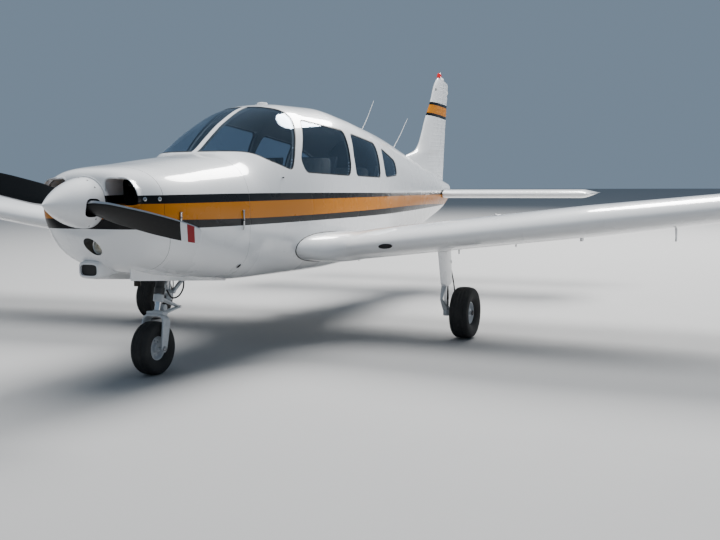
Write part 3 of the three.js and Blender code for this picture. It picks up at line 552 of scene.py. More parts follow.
# Finishes
class Value:
    """A number that changes over a surface: sums with it add Math nodes to its finish."""
    def __init__(self, finish, socket):
        self.finish, self.socket = finish, socket

    def maths(self, operation, *others, first=None):
        values = (self,) + others if first is None else (first, self) + others
        return self.finish.node("ShaderNodeMath", {"operation": operation}, dict(enumerate(values)))

    def __add__(self, other): return self.maths("ADD", other)
    def __radd__(self, other): return self.maths("ADD", other)
    def __sub__(self, other): return self.maths("SUBTRACT", other)
    def __rsub__(self, other): return self.maths("SUBTRACT", first=other)
    def __mul__(self, other): return self.maths("MULTIPLY", other)
    def __rmul__(self, other): return self.maths("MULTIPLY", other)
    def __truediv__(self, other): return self.maths("DIVIDE", other)
    def __rtruediv__(self, other): return self.maths("DIVIDE", first=other)
    def __pow__(self, other): return self.maths("POWER", other)
    def __mod__(self, other): return self.maths("FLOORED_MODULO", other)
    def __abs__(self): return self.maths("ABSOLUTE")
    def __gt__(self, other): return self.maths("GREATER_THAN", other)
    def __lt__(self, other): return self.maths("LESS_THAN", other)
    def low(self, other): return self.maths("MINIMUM", other)
    def high(self, other): return self.maths("MAXIMUM", other)
    def sine(self): return self.maths("SINE")
    def root(self): return self.maths("SQRT")

    def held(self):
        """The value kept between 0 and 1."""
        return self.low(1).high(0)

    def ramp(self, start, end):
        """0 at start, 1 at end and straight between."""
        return ((self - start) / (end - start)).held()


class Finish:
    """A material: constants on its shader's own sockets, and nodes that feed what varies."""
    def __init__(self, name, colour, roughness, **constants):
        self.material = bpy.data.materials.new(name)
        self.material.use_nodes = True
        self.nodes, self.links = self.material.node_tree.nodes, self.material.node_tree.links
        self.shader = self.nodes["Principled BSDF"]
        self.shader.inputs["Base Color"].default_value = (*colour, 1)
        self.shader.inputs["Roughness"].default_value = roughness
        for socket, value in constants.items():
            self.shader.inputs[socket.replace("_", " ")].default_value = value
        self.material.diffuse_color = (*colour, 1)

    def put(self, socket, value):
        if isinstance(value, Value):
            self.links.new(value.socket, socket)
        elif isinstance(value, (int, float)):
            socket.default_value = value
        else:
            length = len(socket.default_value)
            socket.default_value = (tuple(value) + (1,))[:length]

    def node(self, kind, settings=None, inputs=None, output=0):
        made = self.nodes.new(kind)
        for name, value in (settings or {}).items():
            setattr(made, name, value)
        for key, value in (inputs or {}).items():
            self.put(made.inputs[key], value)
        return Value(self, made.outputs[output])

    def place(self):
        """Object coordinates: x, station and height."""
        spot = self.node("ShaderNodeTexCoord", output="Object")
        parts = self.nodes.new("ShaderNodeSeparateXYZ")
        self.links.new(spot.socket, parts.inputs[0])
        x, y, z = (Value(self, socket) for socket in parts.outputs)
        return x, y + HALF_LENGTH, z

    def noise(self, scale, detail=2.0, stretch=None, output="Fac"):
        spot = self.node("ShaderNodeTexCoord", output="Object")
        if stretch:
            spot = self.node("ShaderNodeMapping", inputs={"Vector": spot, "Scale": stretch})
        return self.node("ShaderNodeTexNoise", inputs={"Vector": spot, "Scale": scale, "Detail": detail},
                         output=output)

    def blend(self, share, first, second):
        """The first colour where share is 0, the second where it is 1."""
        made = self.nodes.new("ShaderNodeMix")
        made.data_type = "RGBA"
        for index, value in ((0, share), (6, first), (7, second)):
            self.put(made.inputs[index], value)
        return Value(self, made.outputs[2])

    def feed(self, socket, value):
        self.put(self.shader.inputs[socket], value)
        return self

    def bump(self, height, distance, strength=1.0):
        made = self.node("ShaderNodeBump", inputs={"Height": height, "Strength": strength,
                                                   "Distance": distance})
        return self.feed("Normal", made)


WHITE = (0.8, 0.81, 0.82)
GOLD = (0.48, 0.16, 0.0012)
BLACK = (0.004, 0.004, 0.005)

# Heights of the band's four edges at stations along the side, from the top of the upper black line down
BAND_STATIONS = [0.45, 1.2, 2.2, 3.4, 4.8, 6.0, 7.1]
BAND_EDGES = [
    [1.300, 1.291, 1.270, 1.240, 1.205, 1.185, 1.181],
    [1.246, 1.232, 1.216, 1.196, 1.172, 1.147, 1.120],
    [1.147, 1.114, 1.089, 1.074, 1.061, 1.038, 0.994],
    [1.082, 1.062, 1.040, 1.020, 1.006, 0.998, 0.993],
]
# The same for the fin: heights at its leading and trailing edges
FIN_BAND_STATIONS = [6.7, 7.44]
FIN_BAND_EDGES = [[2.269, 2.245], [2.235, 2.207], [2.129, 2.097], [2.093, 2.059]]
BAND_BLUR = 0.001

RIVET_LINES = {"frames": 0.355, "ribs": 0.33}
RIVET_STEP = 0.032
WING_BEAD_STEP, FIN_BEAD_STEP = 0.06, 0.046
# The fin's leading edge in its bare part: station = start + slope * height
FIN_EDGE_START, FIN_EDGE_SLOPE, FIN_TAIL = 5.008, 0.792, 7.44


def band_colours(paint, station, height, stations, edges):
    """White above and below a gold band between two black lines, whose edges are curves fitted through
    heights at stations."""
    colour = WHITE
    degree = min(3, len(stations) - 1)
    lines = []
    for heights in edges:
        line = station * 0.0
        for factor in np.polyfit(stations, heights, degree):
            line = line * station + float(factor)
        lines.append(line)
    for (upper, lower), tone in (((0, 3), BLACK), ((1, 2), GOLD)):
        below_top = ((lines[upper] - height) / BAND_BLUR).held()
        above_base = ((height - lines[lower]) / BAND_BLUR).held()
        share = below_top * above_base
        colour = paint.blend(share, colour, tone)
        if tone is BLACK:
            paint.feed("Coat Weight", 1 - share * 0.95)
    return colour


def painted(name, bands=None, rivets=None, beads=None, waves=0.0004):
    """Glossy two-coat paint: coloured bands, faint waves in the sheet, rows of flush rivets, and pressed
    beads along the chord, with a little dust that dulls the gloss in patches."""
    paint = Finish(name, WHITE, 0.3, Coat_Weight=1.0, Coat_Roughness=0.04, Specular_IOR_Level=0.2)
    x, station, height = paint.place()
    if bands == "side":
        paint.feed("Base Color", band_colours(paint, station, height, BAND_STATIONS, BAND_EDGES))
    elif bands == "fin":
        paint.feed("Base Color", band_colours(paint, station, height, FIN_BAND_STATIONS, FIN_BAND_EDGES))
    paint.feed("Roughness", paint.noise(3.0, 4.0) * 0.16 + 0.2)
    relief = paint.noise(2.2, 1.0)
    if rivets:
        # Dots 4 mm across along each frame or rib
        line, along = (station, height - abs(x)) if rivets == "frames" else (abs(x), station)
        across = line % RIVET_LINES[rivets] - RIVET_LINES[rivets] / 2
        along = along % RIVET_STEP - RIVET_STEP / 2
        dots = 1 - (across * across + along * along).root().ramp(0.0016, 0.0026)
        relief = relief - dots * 0.25
    if beads == "chord":
        ridge = 1 - abs(abs(x) % WING_BEAD_STEP - WING_BEAD_STEP / 2).ramp(0.0, 0.01)
        relief = relief + ridge * 4.0
    if beads == "fin":
        # The fin's beads start at 0.3 of its chord
        start = 0.3 * FIN_TAIL + 0.7 * (FIN_EDGE_START + FIN_EDGE_SLOPE * height)
        behind = (station - start).ramp(0.0, 0.03)
        ridge = 1 - abs(height % FIN_BEAD_STEP - FIN_BEAD_STEP / 2).ramp(0.0, 0.009)
        relief = relief + ridge * behind * 5.0
    return paint.bump(relief, waves).material


def glazing(name, tint, body=0.08):
    """Clear sheet: light passes its face with a tint, and its gloss grows towards grazing angles, as the
    fifth power of the share that faces away."""
    sheet = Finish(name, (0.7, 0.8, 0.9), 0.03, Metallic=1.0)
    haze = sheet.noise(14.0, 3.0)
    sheet.feed("Roughness", haze * 0.03 + 0.01)
    clear = sheet.node("ShaderNodeBsdfTransparent", inputs={"Color": tint})
    away = sheet.node("ShaderNodeLayerWeight", inputs={"Blend": 0.5}, output="Facing")
    square = away * away
    share = square * square * away * 0.9 + body
    made = sheet.nodes.new("ShaderNodeMixShader")
    sheet.put(made.inputs[0], share.held())
    sheet.links.new(clear.socket, made.inputs[1])
    sheet.links.new(sheet.shader.outputs[0], made.inputs[2])
    sheet.links.new(made.outputs[0], sheet.nodes["Material Output"].inputs[0])
    return sheet.material


def rubber(name, tone=0.018, roughness=0.75):
    """Rubber: near black, dusty in patches and finely pitted."""
    made = Finish(name, (tone, tone, tone), roughness)
    dust = made.noise(9.0, 4.0).ramp(0.45, 0.75)
    made.feed("Base Color", made.blend(dust * 0.5, (tone, tone, tone),
                                       (tone * 2.6, tone * 2.5, tone * 2.3)))
    made.feed("Roughness", made.noise(60.0, 2.0) * 0.2 + roughness - 0.1)
    return made.bump(made.noise(420.0, 2.0), 0.0004, 0.5).material


def metal(name, colour, roughness, metallic=1.0, grain=140.0):
    """Bare or plated metal with a fine grain and darker, duller patches."""
    made = Finish(name, colour, roughness, Metallic=metallic)
    dull = made.noise(11.0, 4.0)
    darker = tuple(0.62 * part for part in colour)
    made.feed("Base Color", made.blend(dull.ramp(0.4, 0.8) * 0.6, colour, darker))
    made.feed("Roughness", dull * 0.22 + roughness - 0.08)
    return made.bump(made.noise(grain, 2.0), 0.0002, 0.4).material


def enamel(name, colour, roughness=0.35, coat=0.4):
    """Sprayed enamel on castings and tubes: orange peel and a little grime."""
    made = Finish(name, colour, roughness, Coat_Weight=coat, Coat_Roughness=0.15)
    grime = made.noise(16.0, 5.0).ramp(0.5, 0.8)
    made.feed("Base Color", made.blend(grime * 0.45, colour, tuple(0.45 * part for part in colour)))
    made.feed("Roughness", made.noise(30.0, 3.0) * 0.2 + roughness - 0.08)
    return made.bump(made.noise(180.0, 2.0), 0.0003, 0.4).material


def plastic(name, colour, roughness=0.5, grain=260.0):
    """Moulded plastic with a leather grain."""
    made = Finish(name, colour, roughness)
    made.feed("Roughness", made.noise(40.0, 3.0) * 0.2 + roughness - 0.1)
    return made.bump(made.noise(grain, 3.0), 0.0006, 0.5).material


def lamp_glass(name, colour, emission=0.0):
    made = Finish(name, colour, 0.08, Coat_Weight=1.0, Coat_Roughness=0.02, Emission_Strength=emission)
    made.shader.inputs["Emission Color"].default_value = (*colour, 1)
    return made.bump((made.place()[0] * 700.0).sine(), 0.0004, 0.6).material


TIP_BANDS = [(0.818, 0.866, WHITE), (0.866, 0.918, (0.3, 0.02, 0.026)), (0.918, 1.0, WHITE)]


def blade_finish():
    """Propeller paint: matt black, a bare leading edge, and two white bands with red between at the tip.
    Bands go by the distance from the shaft; the edge by the blade's own lead value, 1 at its front."""
    made = Finish("blade_paint", (0.008, 0.008, 0.008), 0.42, Specular_IOR_Level=0.25)
    x, _, height = made.place()
    drop = height - SHAFT_Z
    reach = (x * x + drop * drop).root()
    lead = made.node("ShaderNodeAttribute", {"attribute_name": "lead"}, output="Fac")
    colour = made.blend(made.noise(70.0, 4.0).ramp(0.5, 1.0), (0.006, 0.006, 0.006),
                        (0.012, 0.012, 0.011))
    for start, end, tone in TIP_BANDS:
        inside_band = reach.ramp(start, start + 0.001) * (1 - reach.ramp(end, end + 0.001))
        colour = made.blend(inside_band, colour, tone)
    edge = lead.ramp(0.9, 0.93)
    made.feed("Base Color", made.blend(edge, colour, (0.62, 0.62, 0.63)))
    made.feed("Metallic", edge)
    made.feed("Roughness", made.noise(30.0, 3.0) * 0.2 + 0.3)
    return made.bump(made.noise(200.0, 2.0), 0.0002, 0.4).material


side_paint = painted("side_paint", bands="side", rivets="frames")
cowl_paint = painted("cowl_paint", bands="side")
wing_paint = painted("wing_paint", rivets="ribs")
flap_paint = painted("flap_paint", beads="chord")
fin_paint = painted("fin_paint", bands="fin", beads="fin")
plain_paint = painted("plain_paint")
acrylic = glazing("tinted_acrylic", (0.74, 0.79, 0.84), 0.07)
clear_glass = glazing("clear_glass", (0.93, 0.94, 0.95), 0.02)
seal_rubber = rubber("seal_rubber", 0.012, 0.55)
tyre_rubber = rubber("tyre_rubber", 0.016, 0.8)
hose_rubber = rubber("hose_rubber", 0.01, 0.45)
chrome = metal("polished_chrome", (0.82, 0.83, 0.85), 0.1)
bright_metal = metal("bright_reflector", (0.8, 0.81, 0.8), 0.25, 0.75)
bare_metal = metal("bare_alloy", (0.6, 0.61, 0.62), 0.32)
steel = metal("dull_steel", (0.36, 0.36, 0.37), 0.42)
soot = metal("burnt_steel", (0.06, 0.052, 0.045), 0.6, 0.7)
gear_enamel = enamel("gear_enamel", (0.5, 0.53, 0.56))
dark_enamel = enamel("dark_enamel", (0.03, 0.031, 0.033), 0.5, 0.1)
cabin_lining = plastic("cabin_lining", (0.34, 0.33, 0.31), 0.6)
dark_trim = plastic("dark_trim", (0.018, 0.018, 0.019), 0.6)
carpet = plastic("carpet", (0.06, 0.062, 0.066), 0.9, 900.0)
shade = plastic("inner_shade", (0.012, 0.012, 0.013), 0.8)


def depth_below(points):
    """How deep points lie below the fuselage's surface, along rays from its waist."""
    x, station, height = points.T
    reach, waist = body_reach(station, x, height, 0.0, from_points=True)
    return reach - np.hypot(x, height - waist)


def two_faced(piece, inner, depth, behind=0.0):
    """Gives a second finish to the faces that lie deeper than a depth below the fuselage's surface, and
    behind a station."""
    mesh = piece.data
    mesh.materials.append(inner)
    centres = np.zeros(len(mesh.polygons) * 3)
    mesh.polygons.foreach_get("center", centres)
    centres = centres.reshape(-1, 3) + [0, HALF_LENGTH, 0]
    deep = (depth_below(centres) > depth) & (centres[:, 1] > behind)
    index = np.where(deep, len(mesh.materials) - 1, 0)
    mesh.polygons.foreach_set("material_index", index.astype(np.int32))
    mesh.update()
    return piece


# Fuselage panels
SEAM = 0.0012


def bowl_region(grow):
    """What the nose bowl covers in side view, grown backwards by a little to clear its neighbours."""
    return side_prism([[0.2, 0.5], [BOWL_SEAM_LOW + grow, 0.5], [BOWL_SEAM_LOW + grow, 0.8],
                       [BOWL_SEAM + grow, COWL_SPLIT], [BOWL_SEAM + grow, 1.8], [0.2, 1.8]], -FAR, FAR)


INLET = np.array([[0.15, 1.228], [0.392, 1.228], [0.396, 1.318], [0.326, 1.408], [0.15, 1.416]])
INLET_ROUND = 0.045
LAMP = {"z": 0.965, "radius": 0.06}
LAMP_LINE = ([0, 0, LAMP["z"]], [0, 1, 0])


def nose_surface(outline):
    """Stations where lines along the aircraft through an outline (x, height) meet the nose, found by
    halving between its flat front and the cabin."""
    x, height = outline.T
    near, far = np.full(len(x), NOSE_TIP), np.full(len(x), 1.2)
    for _ in range(30):
        middle = (near + far) / 2
        reach, waist = body_reach(middle, x, height, from_points=True)
        outside = np.hypot(x, height - waist) > reach
        near, far = np.where(outside, middle, near), np.where(outside, far, middle)
    return near


def ring_along(points, radius, sides=14):
    """A closed round cord through points."""
    loop = np.asarray(points, float)
    ahead = np.roll(loop, -1, axis=0) - np.roll(loop, 1, axis=0)
    ahead /= np.linalg.norm(ahead, axis=1, keepdims=True)
    middle = loop.mean(0)
    out = loop - middle
    out -= ahead * np.sum(out * ahead, axis=1, keepdims=True)
    out /= np.linalg.norm(out, axis=1, keepdims=True)
    up = np.cross(ahead, out)
    turn = 2 * math.pi * np.arange(sides) / sides
    rings = (loop[:, None] + radius * (np.cos(turn)[None, :, None] * out[:, None]
                                       + np.sin(turn)[None, :, None] * up[:, None]))
    return skin("ring", rings, loop=True)


def nose_bowl():
    shell = body_solid("nose_bowl", NOSE_TIP, 0.85, 0.0, 0.02)
    shell = cut(shell, body_solid("inner", 0.43, 0.9, COWL_SKIN, 0.05))
    shell = inside(shell, bowl_region(-SEAM))
    for side in (1, -1):
        outline = rounded(INLET * [side, 1], INLET_ROUND, 10)
        shell = cut(shell, front_prism(outline, 0.3, 0.9))
        at = nose_surface(outline)
        shell = joined(shell, ring_along(np.column_stack([outline[:, 0], at + 0.006, outline[:, 1]]),
                                         0.0085))
    shell = cut(shell, rod([0, 0.3, SHAFT_Z], [0, 0.5, SHAFT_Z], 0.1, sides=48))
    return cut(shell, rod([0, 0.3, LAMP["z"]], [0, 0.8, LAMP["z"]], LAMP["radius"] + GAP, sides=48))


def cowl_ring():
    """The raised ring of the nose bowl round the back of the spinner."""
    profile = [(0.4, 0.15), (0.4, 0.168), (0.401, 0.172), (0.404, 0.1745), (0.43, 0.176),
               (0.43, 0.15)]
    return skin("cowl_ring", lathe_rings(profile, *SHAFT, 96), loop=True)


def cowl_shell():
    return body_shell("cowl", 0.45, COWL_END - SEAM, COWL_SKIN, step=0.03)


def duct_walls(side):
    """The inlet's inner duct: a wall that runs back from the lip."""
    outline = rounded(INLET * [side, 1], INLET_ROUND, 8)
    rings = []
    for grow, station in ((0.0, 0.425), (0.0, 0.6), (0.006, 0.6), (0.006, 0.425)):
        flat = grown(outline, grow) if grow else outline
        rings.append(np.column_stack([flat[:, 0], np.full(len(flat), station), flat[:, 1]]))
    return skin("duct", rings, loop=True)


def chin_scoop():
    """Rounded box under the bowl with an open mouth, dark from painted shade behind it: sections along
    the aircraft are rounded rectangles that grow from the mouth and close into the cowl's belly."""
    rows = np.array([[0.522, -0.098, 0.802, 0.078, 0.046], [0.53, -0.098, 0.802, 0.086, 0.056],
                     [0.56, -0.098, 0.804, 0.089, 0.063], [0.63, -0.096, 0.806, 0.082, 0.064],
                     [0.7, -0.084, 0.812, 0.062, 0.062], [0.798, -0.08, 0.826, 0.058, 0.06]])
    at = np.linspace(rows[0, 0], rows[-1, 0], 30)
    _, middle, height, half, tall = np.column_stack([at, smooth_table(rows, at)]).T
    across, up = superellipse(48, 4)
    rings = np.stack([middle[:, None] + half[:, None] * across, np.repeat(at[:, None], 48, 1),
                      height[:, None] + tall[:, None] * up], axis=2)
    mouth = rings[:2]
    centre = mouth.mean(axis=1, keepdims=True)
    mouth = centre + (mouth - centre) * [0.86, 1, 0.78]
    mouth[0, :, 1], mouth[1, :, 1] = 0.5, 0.61
    return cut(skin("scoop", rings), skin("mouth", mouth))


def well_slot():
    return block([-0.15, 0.81, 0.5], [0.15, 1.84, 0.8])


bowl = nose_bowl()
show(bowl, "airframe", cowl_paint, "nose_bowl")
two_faced(bowl, shade, SHADE_DEPTH, 0.429)
show(cowl_ring(), "airframe", cowl_paint)

upper_cowl = cut(inside(cowl_shell(), between_heights(COWL_SPLIT, FAR)), bowl_region(SEAM))
show(upper_cowl, "airframe", cowl_paint, "cowl_upper")
two_faced(upper_cowl, shade, SHADE_DEPTH)

EXHAUST = {"x": -0.19, "station": 1.16, "radius": 0.024, "low": 0.62}
lower_cowl = cut(inside(cowl_shell(), between_heights(-FAR, COWL_SPLIT)), bowl_region(SEAM),
                 well_slot(), rod([EXHAUST["x"], EXHAUST["station"], 0.5],
                                  [EXHAUST["x"], EXHAUST["station"], 0.9], 0.034))
show(lower_cowl, "airframe", cowl_paint, "cowl_lower")
two_faced(lower_cowl, shade, SHADE_DEPTH)
scoop = chin_scoop()
show(cut(scoop, body_solid("keep", 0.43, 0.95, COWL_SKIN / 2)), "airframe", cowl_paint)
# A near-black plate just behind the scoop's mouth: painted shade inside the mouth
mouth_shade_plate = block([-0.172, 0.54, 0.755], [-0.024, 0.546, 0.848])
show(mouth_shade_plate, "airframe", hose_rubber, name="intake_screen")

for side, hand in SIDES:
    show(duct_walls(side), "airframe", cowl_paint, name=f"duct_{hand}")

cabin = body_shell("cabin", COWL_END + SEAM, CABIN_END, SKIN, step=0.03)
roof = inside(copied(cabin, "cabin_upper_skin"), between_heights(SILL, FAR))
for outline in (WINDSCREEN, WINDOW_2, WINDOW_3):
    cut(roof, on_left(outline, WINDOW_ROUND), on_right(outline, WINDOW_ROUND))
cut(roof, on_left(WINDOW_1, WINDOW_ROUND), on_right(grown(CABIN_DOOR, DOORWAY_GROW), DOOR_ROUND))
show(roof, "airframe", side_paint, "cabin_upper")
two_faced(roof, cabin_lining, LINING_DEPTH)

belly = inside(copied(cabin, "cabin_lower_skin"), between_heights(-FAR, SILL))
cut(belly, on_right(grown(CABIN_DOOR, DOORWAY_GROW), DOOR_ROUND),
    on_right(grown(BAGGAGE_DOOR, DOORWAY_GROW), DOOR_ROUND), well_slot())
show(belly, "airframe", side_paint, "cabin_lower")
two_faced(belly, cabin_lining, LINING_DEPTH)

door = inside(copied(cabin, "cabin_door_skin"), on_right(grown(CABIN_DOOR, DOOR_GROW), DOOR_ROUND))
cut(door, on_right(WINDOW_1, WINDOW_ROUND))
show(door, "cabin_door", side_paint, "cabin_door")
two_faced(door, cabin_lining, LINING_DEPTH)
hatch = inside(cabin, on_right(grown(BAGGAGE_DOOR, DOOR_GROW), DOOR_ROUND))
show(hatch, "baggage_door", side_paint, "baggage_door", name="baggage_door_skin")
two_faced(hatch, cabin_lining, LINING_DEPTH)

CONE_SKIN = 0.02
STABILATOR_HINGE = (6.93, 1.133)
cone = body_shell("tail_cone_skin", CABIN_END + SEAM, CONE_END - 0.0005, CONE_SKIN, step=0.04)
cone_end = body_solid("cone_end", CONE_END - 0.02, CONE_END, 0.001)
cut(cone, rod([-0.4, *STABILATOR_HINGE], [0.4, *STABILATOR_HINGE], 0.03, sides=40))
show(cone, "airframe", side_paint, "tail_cone")
show(cone_end, "airframe", plain_paint, name="tail_cone_end")

# Windows: a pane set just under the skin, in a thin black seal
PANES = [
    ("windscreen_left", WINDSCREEN, on_left, "airframe"),
    ("windscreen_right", WINDSCREEN, on_right, "airframe"),
    ("window_left_1", WINDOW_1, on_left, "airframe"),
    ("window_left_2", WINDOW_2, on_left, "airframe"),
    ("window_left_3", WINDOW_3, on_left, "airframe"),
    ("window_right_2", WINDOW_2, on_right, "airframe"),
    ("window_right_3", WINDOW_3, on_right, "airframe"),
    ("door_window", WINDOW_1, on_right, "cabin_door"),
]
glass_layer = body_shell("glass", COWL_END, CABIN_END, 0.0085, 0.0035, step=0.03)
seal_layer = body_shell("seal", COWL_END, CABIN_END, 0.012, 0.0015, step=0.03)
for name, outline, half, body in PANES:
    pane = inside(copied(glass_layer, name + "_pane"), half(grown(outline, -0.001), WINDOW_ROUND))
    show(pane, body, acrylic, name)
    edge = half(outline, WINDOW_ROUND)
    inner = half(grown(outline, -0.009), WINDOW_ROUND)
    seal = cut(inside(copied(seal_layer, name + "_seal"), edge), inner)
    show(seal, body, seal_rubber)
drop(glass_layer)
drop(seal_layer)


# Wings
def with_rows(table, values):
    """The table with further rows between its own, on straight lines."""
    values = np.setdiff1d(values, table[:, 0])
    extra = np.column_stack([values] + [np.interp(values, table[:, 0], table[:, k])
                                        for k in range(1, table.shape[1])])
    both = np.vstack([table, extra])
    return both[np.argsort(both[:, 0])]


def hinged(parent, a, b, half_a, half_b, depth, name):
    """Parts a trailing surface from its parent along a hinge line from a to b."""
    box, cove, nose = hinge_parts(a, b, half_a, half_b, depth)
    moving = inside(copied(parent, name), box(0.0))
    moving = joined(moving, inside(nose, copied(parent, "blank")))
    cut(parent, box(CLEAR), cove)
    return moving


def hinge_end(table, x, station):
    middle, half = foil_at(table, x, station)
    return [x, station, middle], half


WING_ROWS = with_rows(WING, [1.0, 1.2, 2.5, 2.9, 4.9, 5.1])
FLAP = {"root": 0.662, "inner": 0.8, "outer": 2.68, "station": 3.96}
AILERON = {"inner": (2.72, 3.96), "outer": (5.2, 3.846)}
tip = 5.25 + 0.15 * np.sin(np.linspace(0, math.pi / 2, 12))
wing_x = np.unique(np.round(np.concatenate([spaced(np.array([0.12, 0.56, 0.8, 2.7, 5.25]), 0.045), tip]),
                            5))
left_wing = skin("wing_left_skin", foil_rings(table_rows(WING_ROWS, wing_x), 56))
cut(left_wing, body_solid("keep", 1.9, 4.7, -0.0005, 0.04))
# The flap's hinge runs straight along the plain part of the wing and on towards the root
(flap_mid, half_mid), (flap_out, half_out) = (hinge_end(WING_ROWS, FLAP[end], FLAP["station"])
                                              for end in ("inner", "outer"))
carry = (FLAP["root"] - FLAP["inner"]) / (FLAP["outer"] - FLAP["inner"])
flap_in = np.array(flap_mid) + (np.array(flap_out) - flap_mid) * carry
left_flap = hinged(left_wing, flap_in, flap_out, half_mid + (half_out - half_mid) * carry, half_out, 0.7,
                   "flap_left_skin")
inner_end, outer_end = (hinge_end(WING_ROWS, *AILERON[end]) for end in ("inner", "outer"))
left_aileron = hinged(left_wing, inner_end[0], outer_end[0], inner_end[1], outer_end[1], 0.7,
                      "aileron_left_skin")
LEG = {"x": 1.44, "station": 3.298, "socket": 0.06}
cut(left_wing, block([LEG["x"] - LEG["socket"], LEG["station"] - LEG["socket"], 0.5],
                     [LEG["x"] + LEG["socket"], LEG["station"] + LEG["socket"], 0.86]))
for piece, node, finish in ((left_wing, "wing", wing_paint), (left_flap, "flap", flap_paint),
                            (left_aileron, "aileron", flap_paint)):
    body = "airframe" if node == "wing" else node
    twin = mirrored(piece, node + "_right_skin")
    show(piece, body if body == "airframe" else node + "_left", finish, node + "_left")
    show(twin, body if body == "airframe" else node + "_right", finish, node + "_right")

# Tail
STABILATOR_ROWS = with_rows(STABILATOR, [1.6, 1.8])
span = np.concatenate([np.linspace(0, 1.85, 24),
                       1.85 + 0.11 * np.sin(np.linspace(0, math.pi / 2, 10))[1:]])
both = np.concatenate([-span[:0:-1], span])
rows = table_rows(STABILATOR_ROWS, np.abs(both))
rows[:, 0] = both
tailplane = skin("stabilator_skin", foil_rings(rows, 44))
cut(tailplane, body_solid("keep", 6.5, CONE_END, -0.014, 0.05),
    block([-0.09, CONE_END - 0.005, 1.0], [0.09, CONE_END + 0.04, 1.3]))
TAB = {"inner": 0.27, "outer": 1.72, "station": 7.385}
inner_end, outer_end = (hinge_end(STABILATOR_ROWS, TAB[end], TAB["station"])
                        for end in ("inner", "outer"))
left_tab = hinged(tailplane, inner_end[0], outer_end[0], inner_end[1], outer_end[1], 0.3, "tab_left_skin")
flip = np.array([-1, 1, 1])
right_tab = hinged(tailplane, outer_end[0] * flip, inner_end[0] * flip, outer_end[1], inner_end[1], 0.3,
                   "tab_right_skin")
joined(tailplane, rod([-0.3, *STABILATOR_HINGE], [0.3, *STABILATOR_HINGE], 0.026, sides=40))
show(tailplane, "stabilator", flap_paint, "stabilator")
show(left_tab, "tab_left", flap_paint, "tab_left")
show(right_tab, "tab_right", flap_paint, "tab_right")

FIN_ROWS = np.column_stack([FIN[:, 0], FIN[:, 1], 0 * FIN[:, 0], FIN[:, 2], 0 * FIN[:, 0], FIN[:, 3],
                            0 * FIN[:, 0]])
heights = np.unique(np.concatenate([spaced(FIN[:, 0], 0.03), np.linspace(2.52, 2.582, 9)]))
upright = foil_rings(table_rows(FIN_ROWS, heights), 48)[:, :, [2, 1, 0]]
fin = skin("fin_skin", upright)
RUDDER_HINGE = np.array([[0, 7.063, 1.368], [0, 7.285, 2.545]])
ends = [foil_at(FIN_ROWS, height, station)[1] for _, station, height in RUDDER_HINGE]
rudder = hinged(fin, *RUDDER_HINGE, *ends, 0.7, "rudder_skin")
cut(fin, body_solid("keep", 5.5, CONE_END - 0.0005, -0.0005, 0.05),
    block([-0.2, 7.279, 2.505], [0.2, 7.7, 2.7]))
show(fin, "airframe", fin_paint, "fin")
show(rudder, "rudder", fin_paint, "rudder")


# Propeller
SPINNER_RADIUS, SPINNER_BASE, SPINNER_WALL, SPINNER_POWER = 0.165, 0.395, 0.004, 1.85
BLADE = np.array([
    [0.060, 0.080, 0.066, 40], [0.120, 0.104, 0.054, 39], [0.190, 0.136, 0.038, 35],
    [0.330, 0.156, 0.027, 29], [0.535, 0.156, 0.019, 24], [0.740, 0.142, 0.013, 19],
    [0.893, 0.118, 0.009, 16], [0.949, 0.096, 0.007, 15], [0.965, 0.062, 0.005, 15],
])


def spinner_profile(shrink, base, steps=48):
    """An ogive: its radius grows as 1 - (1 - t)^p from the tip to the base."""
    t = np.linspace(0, 1, steps) ** 1.3
    t[0] = 0.002
    start = shrink * 1.5
    radius = (SPINNER_RADIUS - shrink) * (1 - (1 - t) ** SPINNER_POWER)
    flat = np.column_stack([start + (SPINNER_BASE - start) * t, radius])
    return np.vstack([flat, [base, SPINNER_RADIUS - shrink]])


def propeller_turn(points, degrees):
    """Points of a blade that lies along X, turned about the shaft."""
    return turned(points, [0, -1, 0], math.radians(degrees), [0, 0, 0]) + [0, HUB, SHAFT_Z]


def blade(degrees):
    """Sections of a blade: a rounded foil of the row's chord and thickness, thickest a third of the way
    from its leading edge, turned by the row's pitch."""
    reach = np.concatenate([np.linspace(0.06, 0.925, 44),
                            0.925 + 0.04 * np.sin(np.linspace(0, math.pi / 2, 10))[1:]])
    chord, thick, pitch = smooth_table(BLADE, reach).T[:, :, None]
    turn = 2 * math.pi * np.arange(40) / 40
    along = np.cos(turn)[None]
    across = np.sin(turn)[None] * (1 + 0.45 * along) * np.where(np.sin(turn) > 0, 1.25, 0.75)[None]
    pitch = np.radians(pitch)
    a, t = chord / 2 * along, thick / 2 * across
    rings = np.stack([np.repeat(reach[:, None], 40, 1), -a * np.sin(pitch) - t * np.cos(pitch),
                      a * np.cos(pitch) - t * np.sin(pitch)], axis=2)
    made = skin("blade", propeller_turn(rings, degrees))
    lead = np.broadcast_to(along, (len(reach), 40)).ravel()
    attribute = made.data.attributes.new("lead", "FLOAT", "POINT")
    attribute.data.foreach_set("value", lead.astype(np.float32))
    return made


blade_paint = blade_finish()
for degrees, name in ((BLADE_ANGLE, "blade_low"), (BLADE_ANGLE + 180, "blade_high")):
    piece = blade(degrees)
    show(piece, "propeller", blade_paint, "propeller", name=name)

